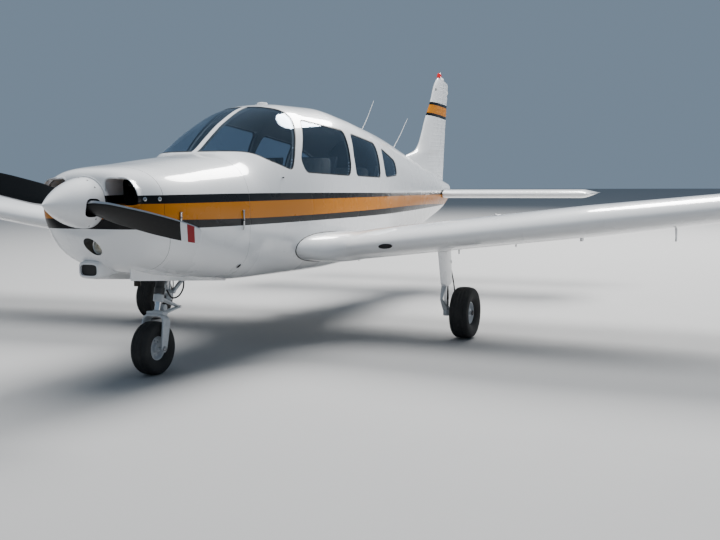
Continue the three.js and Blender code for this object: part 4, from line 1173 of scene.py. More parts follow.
outer, inner = (lathe_rings(spinner_profile(wall, SPINNER_BASE), *SHAFT, 96)
                for wall in (0, SPINNER_WALL))
shell = skin("spinner_shell", np.concatenate([outer, inner[::-1]]), loop=True)
for degrees in (BLADE_ANGLE, BLADE_ANGLE + 180):
    fore, up = superellipse(40, 3)
    tunnel = np.array([np.column_stack([np.full(40, reach), 0.002 + 0.058 * fore, 0.06 * up])
                       for reach in (0.05, 0.2)])
    cut(shell, skin("slot", propeller_turn(tunnel, degrees)))
show(shell, "propeller", plain_paint, "spinner")
hub_profile = [(0.235, 0.001), (0.235, 0.06), (0.245, 0.07), (0.35, 0.072), (0.378, 0.072),
               (0.378, 0.158), (0.388, 0.159), (0.388, 0.05), (0.52, 0.046), (0.52, 0.001)]
show(skin("propeller_hub", lathe_rings(hub_profile, *SHAFT, 72)), "propeller", dark_enamel,
     "propeller")


# Undercarriage
NOSE_GEAR = {"station": 1.068, "radius": 0.192, "width": 0.136, "rim": 0.086}
MAIN_GEAR = {"x": 1.607, "station": 3.298, "radius": 0.22, "width": 0.16, "rim": 0.094}
RAKE = math.radians(13.5)


def raked(piece):
    """An upright piece of the nose leg, tipped back about the axle."""
    pivot = mathutils.Matrix.Translation((0, NOSE_GEAR["station"] - HALF_LENGTH, NOSE_GEAR["radius"]))
    piece.data.transform(pivot @ mathutils.Matrix.Rotation(-RAKE, 4, "X") @ pivot.inverted())
    return piece


def beam(path, across, width, thick, power=4, sides=24):
    """A bar along a path: each section is a superellipse as wide as width along the direction across, and
    as thick as thick square to it."""
    path = np.asarray(path, float)
    ahead = np.gradient(path, axis=0)
    across = np.asarray(across, float) / np.linalg.norm(across)
    normal = np.cross(ahead, across)
    normal /= np.linalg.norm(normal, axis=1, keepdims=True)
    wide, deep = superellipse(sides, power)
    width = np.broadcast_to(width, len(path))[:, None, None]
    thick = np.broadcast_to(thick, len(path))[:, None, None]
    return (path[:, None] + width / 2 * wide[None, :, None] * across
            + thick / 2 * deep[None, :, None] * normal[:, None])


def bar(path, across, width, thick, power=4):
    return skin("bar", beam(path, across, width, thick, power))


def bent(points, radius, steps=8):
    """A path through points with its inner corners rounded, as an outline's are."""
    points = np.asarray(points, float)
    parts = [points[:1]]
    for before, corner, after in zip(points[:-2], points[1:-1], points[2:]):
        start = corner + (before - corner) / np.linalg.norm(before - corner) * radius
        end = corner + (after - corner) / np.linalg.norm(after - corner) * radius
        t = np.linspace(0, 1, steps)[:, None]
        parts.append((1 - t) ** 2 * start + 2 * t * (1 - t) * corner + t ** 2 * end)
    return np.concatenate(parts + [points[-1:]])


def through(points, count):
    """A smooth curve through points: a cubic between each two, with slopes from its neighbours."""
    points = np.asarray(points, float)
    index = np.arange(len(points), dtype=float)
    at = np.linspace(0, len(points) - 1, count)
    k = np.clip(at.astype(int), 0, len(points) - 2)
    slope = np.gradient(points, axis=0)
    t = (at - index[k])[:, None]
    return ((1 + 2 * t) * (1 - t) ** 2 * points[k] + t * (1 - t) ** 2 * slope[k]
            + t ** 2 * (3 - 2 * t) * points[k + 1] + t ** 2 * (t - 1) * slope[k + 1])


def tyre(gear, centre, grooves=(-0.5, -0.17, 0.17, 0.5)):
    """A tyre's section: a superellipse, fuller above its widest point than below, cut open at the beads,
    with round grooves pressed into the tread."""
    radius, half, rim = gear["radius"], gear["width"] / 2, gear["rim"] + GAP
    wide = rim + 0.68 * (radius - rim)
    turn = np.linspace(-2.62, 2.62, 132)
    x = half * np.sign(np.sin(turn)) * np.abs(np.sin(turn)) ** 0.82
    up = np.cos(turn)
    r = wide + np.where(up > 0, (radius - wide) * np.abs(up) ** 0.62,
                        -(wide - rim) * np.abs(up) ** 0.8 / 0.88)
    for groove in grooves:
        r = r - 0.0045 * np.exp(-((x / half - groove) / 0.045) ** 4) * (up > 0.3)
    r = np.maximum(r, rim)
    profile = np.column_stack([x, r])
    return skin("tyre", lathe_rings(profile, centre, [1, 0, 0], 96), loop=True)


def wheel(gear, centre, bore, dish, holes):
    """A cast wheel: flanges at both sides, a dished disc with round holes and a hub."""
    rim, half = gear["rim"], gear["width"] / 2 * 0.6
    hub = bore + 0.016
    one_side = [(half * 0.95, bore), (half * 0.95, hub - 0.003), (half * 0.88, hub),
                (dish + 0.006, hub + 0.002), (dish, hub + 0.008), (dish, rim - 0.02),
                (dish + 0.008, rim - 0.013), (half - 0.004, rim - 0.01), (half, rim - 0.007),
                (half, rim - 0.001), (half - 0.002, rim)]
    other = [(-x, r) for x, r in one_side[::-1]]
    made = skin("wheel", lathe_rings(one_side + other, centre, [1, 0, 0], 72), loop=True)
    middle = (hub + rim - 0.008) / 2
    for k in range(holes):
        angle = 2 * math.pi * k / holes
        y, z = centre[1] + middle * math.cos(angle), centre[2] + middle * math.sin(angle)
        cut(made, rod([centre[0] - 0.1, y, z], [centre[0] + 0.1, y, z], (rim - hub) * 0.16, sides=20))
    return made


def cap(centre, side, radius, length):
    """A domed cap with a rim on a wheel's axle."""
    profile = [(0.0, 0.0005), (0.0, radius), (length * 0.55, radius), (length * 0.8, radius * 0.86),
               (length, radius * 0.5), (length * 1.02, 0.0005)]
    return skin("cap", lathe_rings(profile, centre, [side, 0, 0], 32))


strut = NOSE_GEAR["station"]
STRUT_LINE = ([0, strut, 0], [0, 0, 1])
nose_centre = [0, strut, NOSE_GEAR["radius"]]
show(tyre(NOSE_GEAR, nose_centre, (-0.45, 0.0, 0.45)), "nose_wheel", tyre_rubber, "nose_tyre")
show(wheel(NOSE_GEAR, nose_centre, 0.0126, 0.014, 8), "nose_wheel", gear_enamel, "nose_wheel")


def lathed(profile, centre, axis, sides=48):
    return skin("lathed", lathe_rings(profile, centre, axis, sides))


# The nose leg is made upright and tipped back. The knee of its torque links: distance aft, height
KNEE = (0.262, 0.516)
DAMPER = (0.053, 0.489)
fork_x = 0.088
fork_path = bent([[-fork_x, 0, 0.166], [-fork_x, 0, 0.424], [fork_x, 0, 0.424], [fork_x, 0, 0.166]],
                 0.055, 14)
fork_legs = np.linspace(fork_path[0], fork_path[1], 14)[:-1]
fork_path = np.concatenate([fork_legs, fork_path[1:-1], fork_legs[::-1] * [-1, 1, 1]])
rise = np.clip((fork_path[:, 2] - 0.17) / 0.21, 0, 1)
fork_path[:, 1] = strut + 0.008 * (1 - rise)
foot_round = np.sqrt(np.clip(1 - ((0.196 - fork_path[:, 2]) / 0.031).clip(0, 1) ** 2, 0.02, 1))
fork = bar(fork_path, [0, 1, 0], (0.06 + 0.024 * np.sin(rise * math.pi / 2)) * foot_round, 0.021, 5)
plate = bar([[-0.072, strut, 0.441], [-0.035, strut, 0.444], [0.035, strut, 0.444],
             [0.072, strut, 0.441]], [0, 1, 0], [0.056, 0.076, 0.076, 0.056], 0.024, 6)
links = []
for root, root_up in ((0.026, 0.549), (0.036, 0.438)):
    root_at, knee_at = (np.array([0, strut + aft, up]) for aft, up in ((root, root_up), KNEE))
    links.append(bar([root_at, (root_at + knee_at) / 2, knee_at], [1, 0, 0], [0.062, 0.046, 0.03],
                     [0.022, 0.019, 0.016]))
collar = lathed([(0.526, 0.001), (0.526, 0.035), (0.53, 0.038), (0.573, 0.038), (0.576, 0.035),
                 (0.576, 0.001)], *STRUT_LINE)
boss = lathed([(0.44, 0.001), (0.44, 0.034), (0.462, 0.031), (0.468, 0.001)], *STRUT_LINE)
piston = rod([0, strut, 0.424], [0, strut, 0.63], 0.0205, sides=40)
pin = rod([-0.1, strut, NOSE_GEAR["radius"]], [0.1, strut, NOSE_GEAR["radius"]], 0.0116, sides=28)
knee = rod([-0.022, strut + KNEE[0], KNEE[1]], [0.022, strut + KNEE[0], KNEE[1]], 0.011, sides=20)
lug_top = bar([[0, strut + 0.026, 0.549], [0, strut + 0.048, 0.546]], [1, 0, 0], 0.044, 0.028)
lug_low = bar([[0, strut + 0.03, 0.44], [0, strut + 0.056, 0.446]], [1, 0, 0], 0.046, 0.026)
damper = rod([-0.004, strut + DAMPER[0], DAMPER[1]], [0.03, strut + DAMPER[0], DAMPER[1]], 0.0235,
             sides=40)
for number, piece in enumerate([fork, plate, *links, collar, boss, lug_top, lug_low, damper]):
    show(raked(piece), "nose_fork", gear_enamel, "nose_fork", name=f"nose_fork_{number}")
for piece, name in ((piston, "nose_piston"), (pin, "nose_axle"), (knee, "nose_knee")):
    show(raked(piece), "nose_fork", chrome, "nose_fork", name=name)
for side in (-1, 1):
    nut = cap([side * 0.0985, strut, NOSE_GEAR["radius"]], side, 0.018, 0.013)
    show(nut, "nose_fork", steel, "nose_fork")

# The housing above the collar is dark enamel as painted shade of the gear well it rises into
housing = raked(lathed([(0.581, 0.0225), (0.581, 0.036), (0.59, 0.038), (0.626, 0.038), (0.632, 0.032),
                        (0.96, 0.032), (0.96, 0.001), (0.64, 0.001), (0.64, 0.0225)], *STRUT_LINE))
show(housing, "airframe", dark_enamel, "nose_strut", name="nose_housing")
gusset = side_prism(rounded([[1.15, 0.612], [1.262, 0.564], [1.276, 0.578], [1.264, 0.592], [1.19, 0.65]],
                            0.01, 5), -0.016, 0.016)
strut_parts = [rod([-0.148, 1.236, 0.88], [0.148, 1.236, 0.88], 0.02),
               rod([-0.064, 1.262, 0.578], [0.064, 1.262, 0.578], 0.014), gusset,
               rod([0.02, 1.262, 0.592], [0.028, 1.276, 0.8], 0.0055, sides=20)]
for side in (-1, 1):
    strut_parts.append(bar([[side * 0.05, 1.262, 0.578], [side * 0.075, 1.411, 0.7],
                            [side * 0.1, 1.56, 0.822]], [1, 0, 0], [0.024, 0.026, 0.024], 0.026))
for number, piece in enumerate(strut_parts):
    show(piece, "airframe", gear_enamel, "nose_strut", name=f"nose_strut_{number}")
hose = skin("nose_hose", swept(through([[0.045, 1.19, 0.598], [0.05, 1.235, 0.54], [0.05, 1.29, 0.53],
            [0.047, 1.35, 0.545], [0.045, 1.398, 0.59], [0.044, 1.404, 0.65], [0.04, 1.37, 0.72],
            [0.03, 1.33, 0.8]], 48), 0.006, 14))
show(hose, "airframe", hose_rubber)


def wing_below(x, station):
    """Height of the wing's lower surface."""
    row = table_rows(WING_ROWS, np.atleast_1d(x))[0, 1:]
    t = (np.asarray(station, float) - row[0]) / (row[2] - row[0])
    return foil_surface(row, t, -1)[1]


def gear_door(side):
    """The leg's door: a plate bowed outwards across its chord, narrower at its foot, whose upper edge
    follows the wing's lower surface."""
    across = np.linspace(-1, 1, 24)
    down = np.linspace(0, 1, 26)[:, None]
    front, back = 2.976 + 0.072 * down, 3.3 + 0.026 * down
    half = (back - front) / 2 - 0.02 * np.clip(down - 0.93, 0, 1) / 0.07
    station = (front + back) / 2 + half * across
    top = wing_below(1.483, station) - 0.002
    foot = 0.457 + 0.012 * np.abs(across) ** 3
    height = top + (foot - top) * down
    bow = 0.01 * (1 - across ** 2)
    sheets = []
    for thick in (0.0, 0.0035):
        x = 1.482 - thick + np.broadcast_to(bow, height.shape)
        sheets.append(np.stack([x * side, station, height], axis=2))
    outer, inner = sheets
    rings = np.concatenate([outer, inner[:, ::-1]], axis=1)
    made = skin("main_door", rings)
    corners = np.array([[side * 1.474, 3.286, 0.64], [side * 1.488, 3.306, 0.664]])
    return joined(made, block(corners.min(axis=0), corners.max(axis=0)))


def main_gear(side, name):
    x, s, axle = side * LEG["x"], LEG["station"], MAIN_GEAR["radius"]
    cylinder = [(0.48, 0.001), (0.48, 0.03), (0.486, 0.034), (0.52, 0.034), (0.526, 0.031),
                (0.7, 0.031), (0.708, 0.034), (0.858, 0.034), (0.858, 0.001)]
    clamp = [(0.186, 0.001), (0.186, 0.026), (0.191, 0.03), (0.253, 0.03), (0.259, 0.024), (0.262, 0.001)]
    links = (([x, s - 0.026, 0.5], [x, s - 0.08, 0.425], [x, s - 0.132, 0.352]),
             ([x, s - 0.02, 0.241], [x, s - 0.078, 0.293], [x, s - 0.132, 0.346]))
    leg = [lathed(cylinder, [x, s, 0], [0, 0, 1]), lathed(clamp, [x, s, 0], [0, 0, 1])]
    leg += [bar(link, [1, 0, 0], [0.054, 0.04, 0.022], [0.018, 0.015, 0.013]) for link in links]
    leg.append(bar([[x + side * 0.004, s - 0.006, axle], [x + side * 0.016, s + 0.03, axle],
                    [x + side * 0.016, s + 0.088, axle]], [0, 0, 1], 0.034, 0.016))
    brace = bar([[x - side * 0.008, s, 0.672], [side * 1.404, s + 0.01, 0.708],
                 [side * 1.376, s + 0.02, 0.742]], [0, 1, 0], 0.026, 0.026)
    foot = rod([side * 1.376, s + 0.02, 0.732],
               [side * 1.376, s + 0.02, float(wing_below(1.376, s + 0.02)) - 0.001], 0.016)
    for number, piece in enumerate(leg + [brace, foot]):
        show(piece, "airframe", gear_enamel, f"main_leg_{name}",
             name=f"main_leg_{name}_{number}")
    bright = [rod([x, s, 0.245], [x, s, 0.486], 0.0215, sides=40),
              rod([x, s, axle], [side * 1.669, s, axle], 0.0168, sides=28)]
    for number, piece in enumerate(bright):
        show(piece, "airframe", chrome, f"main_leg_{name}",
             name=f"main_piston_{name}_{number}")
    caliper = bar([[x + side * 0.02, s + 0.085, axle], [x + side * 0.04, s + 0.085, axle + 0.004],
                   [x + side * 0.06, s + 0.085, axle]], [0, 0, 1], [0.06, 0.07, 0.06],
                  [0.04, 0.046, 0.04])
    show(caliper, "airframe", steel, f"main_leg_{name}", name=f"brake_caliper_{name}")
    hose = skin(f"brake_hose_{name}", swept(through([
        [x + side * 0.01, s + 0.036, 0.66], [x + side * 0.024, s + 0.066, 0.56],
        [x + side * 0.03, s + 0.11, 0.44], [x + side * 0.034, s + 0.128, 0.33],
        [x + side * 0.038, s + 0.112, 0.262], [x + side * 0.04, s + 0.096, 0.236]], 40), 0.0055, 14))
    show(hose, "airframe", hose_rubber)

    centre = [side * MAIN_GEAR["x"], MAIN_GEAR["station"], axle]
    body = f"main_wheel_{name}"
    rolling = tyre(MAIN_GEAR, centre)
    show(rolling, body, tyre_rubber, f"main_tyre_{name}", name=f"main_tyre_{name}_tread")
    hub = wheel(MAIN_GEAR, centre, 0.0176, 0.02, 10)
    show(hub, body, gear_enamel, body, name=f"main_hub_{name}")
    disc = skin("disc", lathe_rings([(-0.06, 0.034), (-0.06, 0.074), (-0.067, 0.074), (-0.067, 0.034)],
                                    centre, [side, 0, 0], 64), loop=True)
    show(disc, body, steel, body, name=f"brake_disc_{name}")
    nut = cap([side * 1.6695, MAIN_GEAR["station"], axle], side, 0.021, 0.012)
    show(nut, "airframe", dark_enamel, f"main_leg_{name}", name=f"axle_nut_{name}")
    door = gear_door(side)
    show(door, "airframe", plain_paint, f"main_door_{name}",
         name=f"main_door_{name}_plate")


for side, name in SIDES:
    main_gear(side, name)
for side, name in SIDES:
    edge = rounded([[0.64, 0.727], [1.8, 0.604], [1.84, 0.64], [1.84, 0.9], [0.64, 0.9]], 0.012, 5)
    panel = side_prism(edge, *sorted((side * 0.1503, side * 0.1575)))
    cut(panel, body_solid("keep", 0.45, 2.2, -0.0006, 0.05))
    show(panel, "airframe", cowl_paint, f"nose_door_{name}",
         name=f"nose_door_{name}_panel")

# Exhaust, landing light and engine
bore = EXHAUST["radius"] - 0.0035
pipe = lathed([(EXHAUST["low"], bore), (EXHAUST["low"], EXHAUST["radius"]), (0.96, EXHAUST["radius"]),
               (0.96, 0.001), (0.7, 0.001), (0.7, bore)],
              [EXHAUST["x"], EXHAUST["station"], 0], [0, 0, 1])
show(pipe, "airframe", soot, "engine_block", name="exhaust_stub")
case = bar([[0, 0.66, 1.15], [0, 0.7, 1.15], [0, 1.36, 1.15], [0, 1.4, 1.15]], [1, 0, 0],
           [0.2, 0.26, 0.26, 0.2], [0.34, 0.4, 0.4, 0.34], 5)
show(case, "airframe", dark_enamel, "engine_block", name="engine_case")
fins = np.tile([0.072, 0.092, 0.092, 0.072], 13)
fin_x = np.repeat(0.14 + 0.0145 * np.arange(13), 4) + np.tile([0, 0.002, 0.006, 0.008], 13)
barrel_profile = [(0.1, 0.072), *zip(fin_x, fins), (0.33, 0.072), (0.33, 0.001), (0.1, 0.001)]
for station in (0.8, 1.2):
    for side in (1, -1):
        barrel = lathed(barrel_profile, [0, station, 1.24], [side, 0, 0], 40)
        show(barrel, "airframe", steel, "engine_block",
             name=f"cylinder_{'left' if side > 0 else 'right'}_{round(station * 10)}")
baffle = block([-0.42, 0.64, 1.1], [0.42, 0.646, 1.235])
show(baffle, "airframe", dark_enamel, "engine_block", name="cooling_baffle")

bowl_profile = [(0.582, 0.001), (0.58, 0.014), (0.57, 0.032), (0.55, 0.046), (0.532, 0.0535),
                (0.529, 0.0595), (0.59, 0.0595), (0.59, 0.001)]
reflector = lathed(bowl_profile, *LAMP_LINE, 64)
show(reflector, "airframe", bright_metal, "landing_light", name="landing_reflector")
bulb = lathed([(0.545, 0.0005), (0.547, 0.012), (0.552, 0.02), (0.568, 0.02), (0.58, 0.01),
               (0.584, 0.0005)], *LAMP_LINE, 40)
show(bulb, "airframe", lamp_glass("warm_bulb", (0.9, 0.8, 0.55), 0.4),
     name="landing_bulb")
lens = lathed([(0.522, 0.0005), (0.5225, 0.03), (0.525, 0.052), (0.5275, 0.052), (0.5255, 0.03),
               (0.5245, 0.0005)], *LAMP_LINE, 64)
show(lens, "airframe", clear_glass, name="landing_lens")
# The lamp's sleeve is dark enamel as painted shade inside its recess
sleeve = skin("landing_sleeve", lathe_rings([(0.405, 0.0598), (0.58, 0.0598), (0.58, 0.0625),
                                             (0.405, 0.0625)], *LAMP_LINE, 72), loop=True)
show(inside(sleeve, body_solid("keep", NOSE_TIP, 0.8, 0.0008)), "airframe", dark_enamel)

# Beacon on the fin
dome = lathed([(2.5823, 0.001), (2.5823, 0.032), (2.588, 0.032), (2.59, 0.029), (2.612, 0.0275),
               (2.626, 0.023), (2.636, 0.014), (2.6395, 0.001)], [0, 7.165, 0], [0, 0, 1])
show(dome, "airframe", lamp_glass("red_lens", (0.62, 0.008, 0.008), 0.15), "beacon",
     name="beacon_dome")


# Fittings
def oval_plate(name, centre, axis, long_way, half_long, half_wide, thick, dome=0.0):
    """A low oval boss: an ellipse carried along an axis, its rim rounded and its top domed."""
    axis = np.asarray(axis, float) / np.linalg.norm(axis)
    first = np.asarray(long_way, float)
    first = first - axis * (first @ axis)
    first /= np.linalg.norm(first)
    second = np.cross(axis, first)
    turn = 2 * math.pi * np.arange(40) / 40
    rim = half_long * np.cos(turn)[:, None] * first + half_wide * np.sin(turn)[:, None] * second
    steps = [(-0.004, 1.0), (thick * 0.7, 1.0), (thick, 0.93), (thick + dome * 0.6, 0.6),
             (thick + dome, 0.01)]
    return skin(name, [np.asarray(centre) + axis * up + rim * share for up, share in steps])


def skin_point(station, height, side=1, out=0.0):
    """A point on the fuselage's side, and its outward normal."""
    def at(s, z):
        return np.array([float(body_width(np.array([s]), np.array([z]))[0]), s, z])
    here = at(station, height)
    normal = np.cross(at(station + 0.004, height) - here, at(station, height + 0.004) - here)
    normal /= np.linalg.norm(normal)
    normal *= np.sign(normal[0])
    flip = np.array([side, 1, 1])
    return (here + normal * out) * flip, normal * flip


def fitting(piece, finish, body="airframe", name=None):
    return show(piece, body, finish, name=name)


# Cowl fasteners and latches, and a drain hole with a rim
LATCH_LINE = ((-1, 0.003), (-0.86, 0.008), (-0.1, 0.008), (0.1, 0.008), (0.86, 0.008), (1, 0.003))
for side, hand in SIDES:
    for number, (station, height) in enumerate([(0.478, 1.275), (0.563, 1.273)]):
        at, normal = skin_point(station, height, side)
        fitting(oval_plate("fastener", at, normal, [0, 0, 1], 0.013, 0.013, 0.002, 0.002), bare_metal,
                name=f"cowl_fastener_{hand}_{number}")
        fitting(rod(at + normal * 0.003, at + normal * 0.0052, 0.005, sides=20), dark_enamel,
                name=f"cowl_fastener_slot_{hand}_{number}")
    for number, (station, height, half) in enumerate([(0.721, 1.146, 0.034), (1.426, 1.096, 0.07)]):
        at, normal = skin_point(station, height, side)
        spots = [skin_point(station, height + half * share, side, out)[0]
                 for share, out in LATCH_LINE]
        for part, (first, last) in enumerate(((0, 3), (3, 6))):
            strap = bar(spots[first:last], [0, 1, 0], [0.013, 0.017, 0.017], 0.007)
            fitting(strap, bare_metal, name=f"cowl_latch_{hand}_{number}_{part}")
        for share in (0.0, 0.95):
            pin_at = skin_point(station, height + half * share, side, 0.007)[0]
            fitting(rod(pin_at - [0, 0.012, 0], pin_at + [0, 0.012, 0], 0.0045, sides=16), dark_enamel,
                    name=f"latch_pin_{hand}_{number}_{round(share)}")
    # The drain hole is a near-black disc of painted shade standing for its opening
    at, normal = skin_point(1.484, 0.757, side)
    fitting(oval_plate("vent", at, normal, [0, 1, 0], 0.022, 0.022, 0.0015), shade,
            name=f"drain_hole_{hand}")
    angle = np.linspace(0, 2 * math.pi, 33)[:-1, None]
    spokes = np.cos(angle) * [0, 1, 0] + np.sin(angle) * np.cross(normal, [0, 1, 0])
    ring = ring_along(at + normal * 0.001 + 0.0225 * spokes, 0.0022, 10)
    fitting(ring, cowl_paint, name=f"drain_rim_{hand}")
at, normal = skin_point(2.028, 1.39)
fitting(rod(at - normal * 0.004, at + normal * 0.014 + [0, 0.01, 0], 0.006, 0.005, sides=20), dark_enamel,
        name="static_tube")
fitting(oval_plate("plate", at, normal, [0, 1, 0], 0.014, 0.014, 0.0015), plain_paint,
        name="static_plate")

for name, foot, top in (("whip_front", [0, 4.706, 1.802], [0, 5.087, 2.173]),
                        ("whip_back", [0, 5.562, 1.634], [0, 6.067, 2.026])):
    foot, top = np.array(foot), np.array(top)
    bow = (foot + top) / 2 + [0, 0.01, -0.008]
    fitting(skin(name, swept(through([foot, bow, top], 24), np.linspace(0.0038, 0.002, 24), 12)),
            plain_paint)
    fitting(oval_plate(name + "_foot", foot + [0, 0.004, 0.0], [0, -0.22, 1], [0, 1, 0.2], 0.034, 0.016,
                       0.006, 0.01), plain_paint)
fitting(oval_plate("roof_vent", [0, 2.705, 1.999], [0, 0.02, 1], [0, 1, 0], 0.052, 0.044, 0.018, 0.008),
        plain_paint)
fitting(oval_plate("roof_vent_foot", [0, 2.705, 1.997], [0, 0.02, 1], [0, 1, 0], 0.072, 0.06, 0.004,
                   0.003), plain_paint)
# Blade antenna under the belly and a fuel cap and tie-down on each wing
fitting(bar([[0, 4.3, 0.614], [0, 4.33, 0.556], [0, 4.38, 0.516]], [0, 1, 0], [0.13, 0.09, 0.05],
            [0.014, 0.01, 0.006], 2.2), plain_paint, name="belly_antenna")


def wing_point(x, station, lower=False):
    middle, half = foil_at(WING_ROWS, abs(x), station)
    return np.array([x, station, middle - half if lower else middle + half])


for side, hand in SIDES:
    lug = side_prism(rounded([[3.18, 0.856], [3.26, 0.856], [3.252, 0.96], [3.188, 0.96]], 0.018, 6),
                     *sorted((side * 2.603, side * 2.617)))
    cut(lug, rod([side * 2.5, 3.22, 0.884], [side * 2.7, 3.22, 0.884], 0.013, sides=28))
    fitting(lug, bare_metal, name=f"tie_down_{hand}")
    cap_at = wing_point(side * 1.95, 3.05)
    fitting(oval_plate("fuel_cap", cap_at, [-0.1 * side, 0, 1], [0, 1, 0], 0.042, 0.042, 0.004, 0.002),
            bare_metal, name=f"fuel_cap_{hand}")
    fitting(bar([cap_at + [0, -0.028, 0.007], cap_at + [0, 0.0, 0.009], cap_at + [0, 0.028, 0.007]],
                [1, 0, 0], [0.012, 0.016, 0.012], 0.006), steel, name=f"fuel_cap_grip_{hand}")
    for x, station, length in ((0.66, 3.2, 0.018), (1.553, 3.3, 0.04), (2.05, 3.3, 0.024)):
        foot = wing_point(side * x, station, True)
        fitting(rod(foot + [0, 0, 0.006], foot - [0, 0, length], 0.0075, 0.0055, sides=20), bare_metal,
                name=f"drain_{hand}_{round(x * 100)}")
    # Air intake in the leading edge: a near-black oval of painted shade for its opening, just under the
    # nose of the aerofoil
    nose = table_rows(WING_ROWS, np.array([1.144]))[0]
    spot = np.array([side * 1.144, nose[1] + 0.01, nose[2] - 0.029])
    fitting(oval_plate("intake", spot, [0, -0.84, -0.54], [1, 0, 0.114 * side], 0.063, 0.023, 0.004,
                       0.0005), shade, name=f"wing_intake_{hand}")
    # Navigation light on the tip's leading edge
    lamp_at = np.array([side * 5.325, 3.0, 1.322])
    lamp = oval_plate("tip_lamp", lamp_at, [side * 0.55, -0.83, 0.05], [side * 0.83, 0.55, 0.1], 0.05,
                      0.021, 0.004, 0.018)
    colour = (0.55, 0.01, 0.01) if side > 0 else (0.01, 0.32, 0.08)
    fitting(lamp, lamp_glass(f"tip_lens_{hand}", colour), name=f"tip_lamp_{hand}")

mast = wing_point(3.322, 3.3, True)
fitting(bar([mast + [0, 0, 0.01], mast + [0, 0.012, -0.055], mast + [0, 0.006, -0.108]], [0, 1, 0],
            [0.085, 0.065, 0.052], [0.02, 0.016, 0.014], 2.4), plain_paint,
        name="pitot_mast")
fitting(rod(mast + [0, -0.03, -0.095], mast + [0, -0.01, -0.097], 0.004, sides=16), steel,
        name="pitot_tube")
lug = side_prism(rounded([[6.79, 0.855], [6.87, 0.855], [6.866, 0.925], [6.794, 0.925]], 0.016, 6),
                 -0.008, 0.008)
cut(lug, rod([-0.1, 6.83, 0.88], [0.1, 6.83, 0.88], 0.011, sides=28))
fitting(lug, bare_metal, name="tail_tie_down")

# Tail light on the rudder and dark boots on the fin's leading edge
fitting(oval_plate("tail_light", [0, 7.465, 2.41], [0, 1, 0.0], [0, 0, 1], 0.024, 0.011, 0.004, 0.012),
        lamp_glass("tail_lens", (0.82, 0.82, 0.8)), body="rudder")
for side, hand in SIDES:
    middle, half = foil_at(FIN_ROWS, 2.417, 6.98)
    fitting(oval_plate("fin_boot", [side * half, 6.98, 2.417], [side, -0.35, 0], [0, 0.35, 1], 0.022,
                       0.012, 0.002), seal_rubber, name=f"fin_boot_{hand}")


SEAL_RADIUS = 0.0052


def root_seal(side):
    """The seal where the wing meets the fuselage: the line in which the two surfaces cross, found
    by halving along the span for each point round the aerofoil, as a round cord."""
    count = 90
    half_turn = np.linspace(0.05, math.pi, count)
    t = np.concatenate([(1 - np.cos(half_turn))[::-1] / 2, (1 - np.cos(half_turn[1:])) / 2])
    t = np.clip(np.concatenate([t[:count], [0.0], t[count:]]), 0, 0.992)
    top = np.concatenate([np.ones(count), [0.0], -np.ones(count - 1)])
    low, high = np.full(len(t), 0.3), np.full(len(t), 0.79)

    def at(x):
        return foil_surface(table_rows(WING_ROWS, x)[:, 1:].T, t, top)

    for _ in range(26):
        middle = (low + high) / 2
        station, height = at(middle)
        within = middle < body_width(station, height)
        low, high = np.where(within, middle, low), np.where(within, high, middle)
    station, height = at(low)
    path = np.column_stack([low * side, station, height])
    length = np.append(0, np.cumsum(np.linalg.norm(np.diff(path, axis=0), axis=1)))
    even_steps = np.linspace(0, length[-1], 240)
    path = np.column_stack([np.interp(even_steps, length, path[:, k]) for k in range(3)])
    return skin("root_seal", swept(path, SEAL_RADIUS, 12))


for side, hand in SIDES:
    fitting(root_seal(side), seal_rubber, name=f"root_seal_{hand}")

# Spinner screws, away from the blades
SCREWS, SCREW_STATION = 14, 0.345
for number in range(SCREWS):
    angle = 2 * math.pi * (number + 0.5) / SCREWS
    if abs(math.sin(angle - math.radians(BLADE_ANGLE))) < 0.42:
        continue
    radius = SPINNER_RADIUS * (1 - (1 - SCREW_STATION / SPINNER_BASE) ** SPINNER_POWER)
    out = np.array([math.cos(angle), 0.0, math.sin(angle)])
    foot = np.array([0, SCREW_STATION, SHAFT_Z]) + out * radius
    fitting(rod(foot - out * 0.002, foot + out * 0.0012, 0.0055, sides=16), dark_enamel,
            body="propeller", name=f"spinner_screw_{number}")


# Hinges and handles of the doors
def knuckle_parts(x, station, z, lean, heights, moving):
    """The knuckles of a hinge with its arms: of the moving leaf, or of the frame below it. Its line
    passes x at the height z and leans by lean."""
    parts = []
    on = lambda height: np.array([x + lean * (height - z), station, height])
    for height in heights:
        start, end = (GAP, 0.03) if moving else (-0.03, 0.0)
        middle = on(height + (start + end) / 2)
        root = np.array([middle[0] + 0.04, station + (0.032 if moving else -0.032), middle[2]])
        parts.append(rod(on(height + start), on(height + end), 0.007, sides=24))
        parts.append(rod(middle, root, 0.005, 0.006, sides=16))
    return parts


HINGES = [((-0.59, 2.243, 1.05, 0.065, (1.03, 1.285)), "cabin_door", "cabin_hinge"),
          ((-0.552, 4.017, 1.05, 0.0, (1.01, 1.23)), "baggage_door", "baggage_hinge")]
for line, body, label in HINGES:
    for moving in (False, True):
        for number, piece in enumerate(knuckle_parts(*line, moving)):
            fitting(piece, gear_enamel, body if moving else "airframe",
                    f"{label}_{'leaf' if moving else 'frame'}_{number}")

